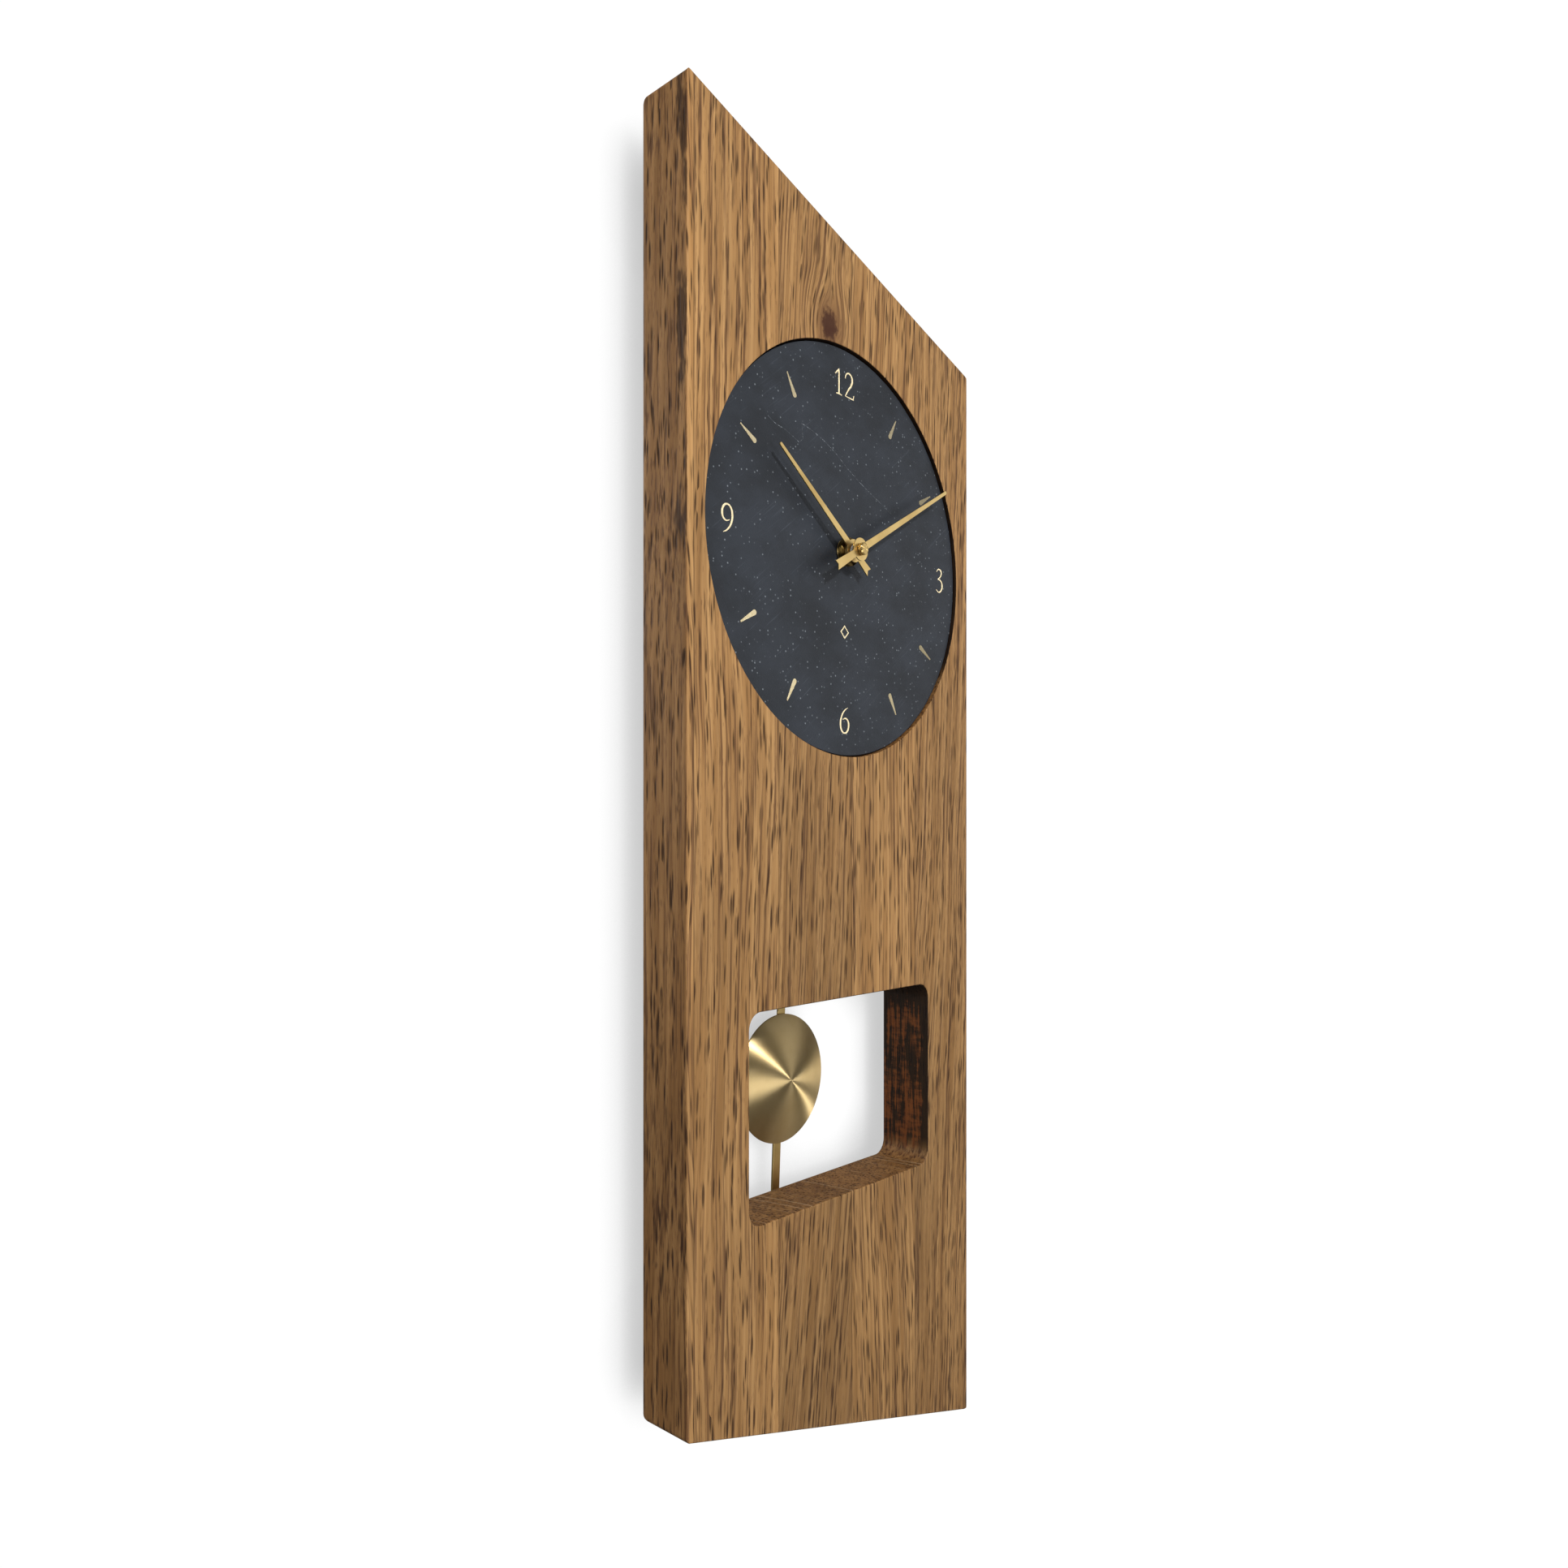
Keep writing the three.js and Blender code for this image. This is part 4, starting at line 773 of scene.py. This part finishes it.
# A painted hour mark: round at its inner end, drawn out to a point at its outer end.
def makeHourMark(sizes):
    radius = sizes["markWidth"] / 2
    piece = newRound("hour_mark", (0, 0, 0), radius, -sizes["paintLift"], 0, 24)
    openEdit(piece)
    pick(piece, "VERT", lambda vert: radius * 0.05 < vert.co.z < radius * 0.96)
    bpy.ops.mesh.dissolve_verts()
    pick(piece, "VERT", lambda vert: vert.co.z > radius * 0.96)
    bpy.ops.transform.translate(value=(0, 0, sizes["markOuter"] - sizes["markInner"] - 2 * radius))
    pick(piece, "EDGE", lambda edge: edge.verts[0].co.y < -1e-5 and edge.verts[1].co.y < -1e-5)
    bpy.ops.mesh.bevel(offset=0.04 * mm, segments=1, affect="EDGES")
    closeEdit()
    setPlace(piece, (0, 0, sizes["markInner"] + radius))
    return piece


def copyOf(piece, name):
    deselectAll()
    piece.select_set(True)
    bpy.context.view_layer.objects.active = piece
    bpy.ops.object.duplicate(linked=False)
    copy = bpy.context.object
    copy.name = name
    return copy


hourMark = makeHourMark(dial)
for hour in (1, 2, 4, 5, 7, 8, 10, 11):
    mark = copyOf(hourMark, f"hour_mark_{hour}")
    setPlace(mark, (shaft.x, dialFront, shaft.z), math.radians(30 * hour))
    finishPiece(mark, "case", "brass", goldPaint)
bpy.data.objects.remove(hourMark, do_unlink=True)


# A painted stroke through points of (x, z, half width) in millimetres.
def newStroke(name, points, sharp=(), closed=False):
    deselectAll()
    bpy.ops.curve.primitive_bezier_curve_add()
    piece = bpy.context.object
    piece.name = name
    curve = piece.data
    spline = curve.splines[0]
    spline.bezier_points.add(len(points) - 2)
    spline.use_cyclic_u = closed
    for number, (point, (x, z, halfWidth)) in enumerate(zip(spline.bezier_points, points)):
        point.co = (x * mm, 0, z * mm)
        point.radius = halfWidth
        kind = "VECTOR" if number in sharp else "AUTO"
        point.handle_left_type = kind
        point.handle_right_type = kind
    curve.bevel_depth = 1 * mm
    curve.bevel_resolution = 2
    curve.resolution_u = 10
    curve.use_fill_caps = True
    bpy.ops.object.convert(target="MESH")
    openEdit(piece)
    bpy.ops.mesh.select_all(action="SELECT")
    bpy.ops.transform.resize(value=(1, 0.16, 1), center_override=(0, 0, 0))
    closeEdit()
    return piece


numerals = {
    "one": [(-2.6, 2.9, 0.22), (-1.3, 4.1, 0.34), (0.1, 5.4, 0.38), (0.1, 0.0, 0.52), (0.1, -5.4, 0.46)],
    "foot": [(-1.9, -5.5, 0.18), (0.1, -5.3, 0.30), (2.1, -5.5, 0.18)],
    "two": [(-3.0, 2.7, 0.26), (-2.6, 4.2, 0.27), (-1.1, 5.4, 0.32), (1.0, 5.0, 0.45), (2.1, 3.0, 0.55),
            (1.4, 0.8, 0.50), (-0.8, -1.9, 0.38), (-3.1, -5.1, 0.28), (2.8, -5.3, 0.38), (3.2, -3.4, 0.18)],
    "six": [(2.4, 5.7, 0.12), (0.2, 4.5, 0.30), (-2.0, 1.9, 0.45), (-2.9, -1.6, 0.55), (-1.9, -4.7, 0.45),
            (0.0, -5.6, 0.34), (2.1, -4.6, 0.45), (3.0, -2.0, 0.55), (2.2, 0.2, 0.42), (0.6, 0.9, 0.28),
            (-1.3, 0.3, 0.14)],
    "three": [(-2.1, 4.1, 0.18), (-1.3, 5.2, 0.26), (0.2, 5.6, 0.30), (1.9, 4.5, 0.45), (1.5, 2.6, 0.38),
              (-1.1, 0.6, 0.18), (1.5, 0.1, 0.40), (2.7, -2.0, 0.55), (1.6, -4.7, 0.42), (-0.4, -5.6, 0.28),
              (-2.6, -4.6, 0.22)],
}
numeralPlaces = [
    ("numeral_12_one", "one", (-4.1, 74.5), 0, (2,)),
    ("numeral_12_foot", "foot", (-4.1, 74.5), 0, ()),
    ("numeral_12_two", "two", (3.6, 74.5), 0, (7, 8)),
    ("numeral_3", "three", (76.5, 0), 0, (5,)),
    ("numeral_6", "six", (0, -73.9), 0, ()),
    ("numeral_9", "six", (-76, 0), math.pi, ()),
]
for name, shape, (x, z), turn, sharp in numeralPlaces:
    numeral = newStroke(name, numerals[shape], sharp)
    setPlace(numeral, (shaft.x + x * mm, dialFront, shaft.z + z * mm), turn)
    finishPiece(numeral, "case", "brass", goldPaint, angle=60)

# A plain diamond frame below the centre
emblem = {"size": 3.0 * mm, "line": 0.5 * mm, "drop": 35 * mm}
diamond = newRound("dial_diamond", (0, 0, 0), emblem["size"], -dial["paintLift"], 0, 4)
openEdit(diamond)
pick(diamond, "FACE", lambda face: facesFront(face) or facesBack(face))
bpy.ops.mesh.inset(thickness=emblem["line"], use_individual=True)
bpy.ops.mesh.bridge_edge_loops()
closeEdit()
setPlace(diamond, (shaft.x, dialFront, shaft.z - emblem["drop"]))
finishPiece(diamond, "case", "brass", goldPaint)

# A natural vein that crosses the upper left of the slate
vein = [(-52, 47.1, 0.05), (-48.1, 45.3, 0.13), (-40.2, 43.8, 0.1), (-31.6, 41, 0.14), (-29, 43, 0.08),
        (-29.8, 49.4, 0.13), (-21.5, 47.8, 0.09), (-9.2, 43.7, 0.12), (3.5, 37.1, 0.07), (16.7, 31.4, 0.11),
        (27.6, 27.5, 0.05), (36, 24.2, 0.03)]
veinLine = newStroke("slate_vein", vein, (3, 4, 5))
setPlace(veinLine, (shaft.x, dialFront, shaft.z))
veinFinish, veinTree, veinShader = newFinish("quartzVein", Roughness=0.5)
veinBreaks = noiseAt(veinTree, objectPlace(veinTree), (900, 900, 900), 3.0, 0.7)
veinShare = spanOf(veinTree, veinBreaks, 0.48, 0.62)
veinColour = blendTones(veinTree, veinShare, tone(slateLook["base"]), tone(slateLook["vein"]))
feed(veinTree, veinShader.inputs["Base Color"], veinColour)
feed(veinTree, veinShader.inputs["Normal"], bumpFrom(veinTree, veinBreaks, 0.00005, 0.5))
finishPiece(veinLine, "case", "slate", veinFinish, angle=60)
print("dial made")


# The washer and the nut at the dial's centre
fitting = {
    "hole": 4.3 * mm, "washerEdge": 0.12 * mm, "nutEdge": 0.3 * mm,
}


def makeCentreRing(name, node, body, edge, finish):
    low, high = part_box(node)
    piece = newRound(name, shaft, (high.x - low.x) / 2, low.y, high.y, 64)
    cutWith(piece, newRound("holeTool", shaft, fitting["hole"], low.y - mm, high.y + mm, 64))
    roundEdges(piece, edge, 3, 50)
    return finishPiece(piece, body, "brass", finish, node)


makeCentreRing("washer_ring", "dial_washer", "case", fitting["washerEdge"], turnedBrass)
makeCentreRing("round_nut", "centre_nut", "case", fitting["nutEdge"], shadedNutBrass)


def makeCap():
    low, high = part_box("hand_cap")
    radius = (high.x - low.x) / 2
    length = high.y - low.y
    crown = [(radius * 0.70, 0), (radius * 0.88, 0.06 * length), (radius, 0.17 * length)]
    foot = [(radius, 0.86 * length), (radius * 0.92, length)]
    piece = newTurned("brass_cap", crown + foot, 64)
    setPlace(piece, (shaft.x, low.y, shaft.z))
    return finishPiece(piece, "minute", "brass", turnedBrass, "hand_cap", angle=25)


makeCap()


hands = {
    "hour_hand": {"body": "hour", "length": 61 * mm, "tail": 13.5 * mm, "hole": 2.9 * mm, "angle": 305},
    "minute_hand": {
        "body": "minute", "length": 79.5 * mm, "tail": 19.5 * mm, "hole": 1.8 * mm, "angle": 60,
    },
}
handShape = {
    "hub": 5 * mm, "root": 3.2 * mm, "tip": 1.5 * mm, "tailWidth": 4.2 * mm, "notch": 1.2 * mm,
    "thickness": 0.5 * mm, "bevel": 0.1 * mm, "collet": 1 * mm,
}


# A hand is made pointing up from the origin, its blade and tail drawn out of the ring's rim, then turned.
def makeHand(node, sizes):
    low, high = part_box(node)
    half = handShape["thickness"] / 2
    hub = handShape["hub"]
    piece = newRound(node.replace("hand", "blade"), (0, 0, 0), hub, -half, half, 96)
    openEdit(piece)
    blade = (1, handShape["root"], handShape["tip"], sizes["length"])
    tail = (-1, handShape["tailWidth"], handShape["tailWidth"], sizes["tail"])
    for side, width, endWidth, length in (blade, tail):
        pick(piece, "FACE", lambda face: abs(face.normal.y) < 0.1 and side * middle(face).z > 0
             and abs(middle(face).x) < handShape["root"] / 2)
        shape = bmesh.from_edit_mesh(piece.data)
        rootWidth = 2 * max(abs(vert.co.x) for vert in shape.verts if vert.select)
        end = (0, 0, side * length)
        bpy.ops.mesh.extrude_region_move(TRANSFORM_OT_translate={"value": (0, 0, 0)})
        bpy.ops.transform.resize(value=(1, 1, 0), center_override=end)
        bpy.ops.transform.resize(value=(endWidth / rootWidth, 1, 1), center_override=end)
        shape = bmesh.from_edit_mesh(piece.data)
        for vert in shape.verts:
            if side * vert.co.z < length - tiny:
                continue
            share = min(1.0, abs(vert.co.x) / (endWidth / 2))
            if side > 0:  # the tip is a half round
                vert.co.z = length - endWidth / 2 * (1 - math.sqrt(1 - share * share))
            else:  # the tail ends in a notch
                vert.co.z = handShape["notch"] * (1 - share) - length
        bmesh.update_edit_mesh(piece.data)
    closeEdit()
    roundEdges(piece, handShape["bevel"], 2, 60)
    colletRadius = sizes["hole"] + handShape["collet"]
    collet = newRound("collet", (0, 0, 0), colletRadius, 0, high.y - low.y - half, 48)
    applyModifier(piece, "BOOLEAN", operation="UNION", solver="EXACT", object=collet)
    bpy.data.objects.remove(collet, do_unlink=True)
    cutWith(piece, newRound("holeTool", (0, 0, 0), sizes["hole"], -5 * mm, 5 * mm, 48))
    setPlace(piece, (shaft.x, low.y + half, shaft.z), math.radians(sizes["angle"]))
    return finishPiece(piece, sizes["body"], "brass", finishes["brass"], node)


for node, sizes in hands.items():
    makeHand(node, sizes)
print("hands made")


# The pendulum is drawn hanging straight from the origin and swung to its resting tilt.
pendulum = {
    "tilt": 2.95, "bobRadius": 29 * mm, "dome": 5.9 * mm, "rim": 0.8 * mm, "sheet": 1 * mm,
    "rodWidth": 4.9 * mm, "rodThickness": 1 * mm, "rodTop": 19.8 * mm, "rodBottom": 268 * mm,
    "rodCorner": 1 * mm, "rodEdge": 0.15 * mm, "bobEdge": 0.22 * mm,
    "pegDrop": 22.8 * mm, "pegHole": 1.3 * mm, "bobDrop": 204.77 * mm,
}
tiltAngle = math.radians(pendulum["tilt"])


def hang(piece, depth):
    setPlace(piece, (pivot.x, depth, pivot.z), tiltAngle)


def makeBob(sizes):
    low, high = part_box("pendulum_bob")
    radius, dome = sizes["bobRadius"], sizes["dome"]
    ballRadius = (radius ** 2 + dome ** 2) / (2 * dome)
    deselectAll()
    bpy.ops.mesh.primitive_uv_sphere_add(segments=128, ring_count=216, radius=ballRadius,
                                         location=(0, ballRadius, 0), rotation=(math.pi / 2, 0, 0))
    piece = bpy.context.object
    piece.name = "spun_bob"
    applyPlace(piece)
    openEdit(piece)
    bpy.ops.mesh.select_all(action="SELECT")
    bpy.ops.mesh.bisect(plane_co=(0, dome, 0), plane_no=(0, 1, 0), clear_outer=True)
    pick(piece, "EDGE", lambda edge: len(edge.link_faces) == 1)
    bpy.ops.mesh.extrude_edges_move(TRANSFORM_OT_translate={"value": (0, sizes["rim"], 0)})
    closeEdit()
    applyModifier(piece, "SOLIDIFY", thickness=sizes["sheet"], offset=-1)
    roundEdges(piece, sizes["bobEdge"], 3, 50)
    piece.location = (0, 0, -sizes["bobDrop"])
    applyPlace(piece)
    hang(piece, low.y)
    return finishPiece(piece, "pendulum", "brass", spunBrass, "pendulum_bob")


def makeRod(sizes):
    low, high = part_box("pendulum_rod")
    half = sizes["rodWidth"] / 2
    lower = (-half, 0, -sizes["rodBottom"])
    upper = (half, sizes["rodThickness"], -sizes["rodTop"])
    piece = newPlate("brass_rod", lower, upper, sizes["rodCorner"], 5)
    cutWith(piece, newRound("pegTool", (0, 0, -sizes["pegDrop"]), sizes["pegHole"], -mm, 3 * mm, 32))
    roundEdges(piece, sizes["rodEdge"], 2, 60)
    hang(piece, low.y)
    return finishPiece(piece, "pendulum", "brass", brushedRod, "pendulum_rod")


makeBob(pendulum)
makeRod(pendulum)
print("pendulum made")


# The parts at the back and inside are copies of the CAD parts with their edges broken.
record = frame["record"]
nodeBodies = {node: body for body, nodes in record["behaviour"]["bodies"].items() for node in nodes}
slots = {part["node"]: part["material_slot"] for part in record["subparts"]}

softEdges = {
    "rear_cover": 0.4 * mm, "movement_housing": 0.4 * mm,
    "setting_knob": 0.15 * mm, "hanger_plate": 0.25 * mm,
    "hanger_screw": 0.15 * mm, "cover_screw": 0.12 * mm, "wall_spacer": 0.5 * mm, "felt_pad": 0.25 * mm,
    "pivot_pin": 0.12 * mm, "pendulum_leader": 0.12 * mm, "bob_clip": 0.12 * mm, "leader_magnet": 0.12 * mm,
    "centre_bush": 0.1 * mm, "minute_arbor": 0.05 * mm, "contact": 0.06 * mm,
}


def makeFinerCopy(name, width):
    deselectAll()
    node = frame["nodes"][name]
    node.hide_set(False)
    node.select_set(True)
    bpy.context.view_layer.objects.active = node
    bpy.ops.object.duplicate(linked=False)
    piece = bpy.context.object
    piece.name = name + "_finer"
    for mark in ("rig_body", "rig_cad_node"):  # the copy isn't a CAD node any more
        del piece[mark]
    openEdit(piece)
    bpy.ops.mesh.select_all(action="SELECT")
    bpy.ops.mesh.remove_doubles(threshold=1e-6)
    bpy.ops.mesh.dissolve_limited(angle_limit=math.radians(1))
    closeEdit()
    roundEdges(piece, width, 2, 50)
    finish = darkOak if "spacer" in name else finishes[slots[name]]
    finishPiece(piece, nodeBodies[name], slots[name], finish, name, angle=30)


replaced = {"oak_case", "slate_dial", "dial_washer", "centre_nut", "hand_cap", "hour_hand", "minute_hand",
            "pendulum_bob", "pendulum_rod"}
for name, node in list(frame["nodes"].items()):
    if name in replaced:
        continue
    width = next((size for word, size in softEdges.items() if name.startswith(word)), None)
    if width:
        makeFinerCopy(name, width)
    node.data.materials.clear()
    node.data.materials.append(finishes[slots[name]])
print("back and inside made")


# Wall, floor and lights
stage = {
    "wallGap": 0.6 * mm, "wallSize": 16.0, "shadowReach": 30 * mm, "floorDrop": 3.0,
    "keyPlace": (-0.31, -1.95, 0.93), "keySize": 0.16, "keyPower": 34.0,
    "lowPlace": (0.2, -2.1, -0.8), "lowSize": 0.8, "lowPower": 13.0,
    "backPlace": (-0.6, 2.2, 0.5), "backSize": 1.5, "backPower": 22.0,
    "leftPlace": (-2.0, -0.9, 0.2), "leftSize": 1.4, "leftPower": 18.0,
    "rightPlace": (1.55, -1.2, 0.15), "rightSize": 1.3, "rightPower": 4.0,
    "worldStrength": 0.26,
}


# The wall glows white, with a painted shadow only close to what hangs on it; from behind it is clear.
def makeWall(sizes):
    deselectAll()
    bpy.ops.mesh.primitive_plane_add(size=sizes["wallSize"], location=(0, sizes["wallGap"], 0),
                                     rotation=(math.pi / 2, 0, 0))
    wall = bpy.context.object
    wall.name = "wall"
    finish, tree, shader = newFinish("paleWall", Roughness=1.0)
    near = tree.nodes.new("ShaderNodeAmbientOcclusion")
    near.samples = 16
    near.inputs["Distance"].default_value = sizes["shadowReach"]
    glow = tree.nodes.new("ShaderNodeEmission")
    # painted shadow: ambient occlusion darkens the wall's glow near the clock and the bob
    shade = spanOf(tree, near.outputs["AO"], 0.15, 0.85, 0.55, 1.02)
    feed(tree, glow.inputs["Color"], joinVector(tree, shade, shade, shade))
    clear = tree.nodes.new("ShaderNodeBsdfTransparent")
    mix = tree.nodes.new("ShaderNodeMixShader")
    feed(tree, mix.inputs[0], tree.nodes.new("ShaderNodeNewGeometry").outputs["Backfacing"])
    feed(tree, mix.inputs[1], glow.outputs[0])
    feed(tree, mix.inputs[2], clear.outputs[0])
    feed(tree, tree.nodes["Material Output"].inputs["Surface"], mix.outputs[0])
    tree.nodes.remove(shader)
    wall.data.materials.append(finish)
    wall.visible_diffuse = False
    wall.visible_glossy = False
    wall.visible_transmission = False
    wall.visible_shadow = False


def makeFloor(sizes):
    deselectAll()
    low = cadBox[0]
    bpy.ops.mesh.primitive_plane_add(size=sizes["wallSize"], location=(0, 0, low[2] - sizes["floorDrop"]))
    floor = bpy.context.object
    floor.name = "floor"
    finish, tree, shader = newFinish("paleFloor", Roughness=0.9)
    glow = tree.nodes.new("ShaderNodeEmission")
    glow.inputs["Color"].default_value = tone("eeedea")
    feed(tree, tree.nodes["Material Output"].inputs["Surface"], glow.outputs[0])
    tree.nodes.remove(shader)
    floor.data.materials.append(finish)
    floor.visible_diffuse = False
    floor.visible_glossy = False


def makeLight(name, place, size, power, target):
    deselectAll()
    bpy.ops.object.light_add(type="AREA", location=place)
    light = bpy.context.object
    light.name = name
    light.data.shape = "DISK"
    light.data.size = size
    light.data.energy = power
    light.rotation_euler = (Vector(target) - Vector(place)).to_track_quat("-Z", "Y").to_euler()


def makeWorld(sizes):
    world = bpy.data.worlds.new("studio")
    bpy.context.scene.world = world
    world.use_nodes = True
    tree = world.node_tree
    direction = tree.nodes.new("ShaderNodeTexCoord").outputs["Generated"]
    x, y, z = splitVector(tree, direction)
    side = calc(tree, "MULTIPLY_ADD", x, 0.5, calc(tree, "MULTIPLY_ADD", z, 0.35, 0.5))
    sky = blendTones(tree, spanOf(tree, side, 0.0, 1.0), tone("b9bcc0"), tone("ffffff"))
    feed(tree, tree.nodes["Background"].inputs["Color"], sky)
    tree.nodes["Background"].inputs["Strength"].default_value = sizes["worldStrength"]
    plain = tree.nodes.new("ShaderNodeBackground")
    plain.inputs["Color"].default_value = tone("f4f4f3")
    mix = tree.nodes.new("ShaderNodeMixShader")
    feed(tree, mix.inputs[0], tree.nodes.new("ShaderNodeLightPath").outputs["Is Camera Ray"])
    feed(tree, mix.inputs[1], tree.nodes["Background"].outputs[0])
    feed(tree, mix.inputs[2], plain.outputs[0])
    feed(tree, tree.nodes["World Output"].inputs["Surface"], mix.outputs[0])


camera = {
    "place": (-0.3947, -0.3318, -0.2099), "turn": -44.9,
    "lens": 25.38, "shiftX": 0.0642, "shiftY": 0.0317,
}


def makeCamera(sizes):
    deselectAll()
    turn = math.radians(sizes["turn"])
    bpy.ops.object.camera_add(location=sizes["place"], rotation=(math.pi / 2, 0, turn))
    view = bpy.context.object
    view.data.sensor_width = 36
    view.data.lens = sizes["lens"]
    view.data.shift_x = sizes["shiftX"]
    view.data.shift_y = sizes["shiftY"]
    view.data.clip_start = 0.01
    bpy.context.scene.camera = view


makeWall(stage)
makeFloor(stage)
makeLight("keyLight", stage["keyPlace"], stage["keySize"], stage["keyPower"], shaft)
makeLight("leftLight", stage["leftPlace"], stage["leftSize"], stage["leftPower"], shaft)
makeLight("lowLight", stage["lowPlace"], stage["lowSize"], stage["lowPower"], bobCentre)
makeLight("backLight", stage["backPlace"], stage["backSize"], stage["backPower"], shaft)
makeLight("rightLight", stage["rightPlace"], stage["rightSize"], stage["rightPower"], shaft)
makeWorld(stage)
makeCamera(camera)
bpy.context.scene.view_settings.view_transform = "Standard"
print("stage set")
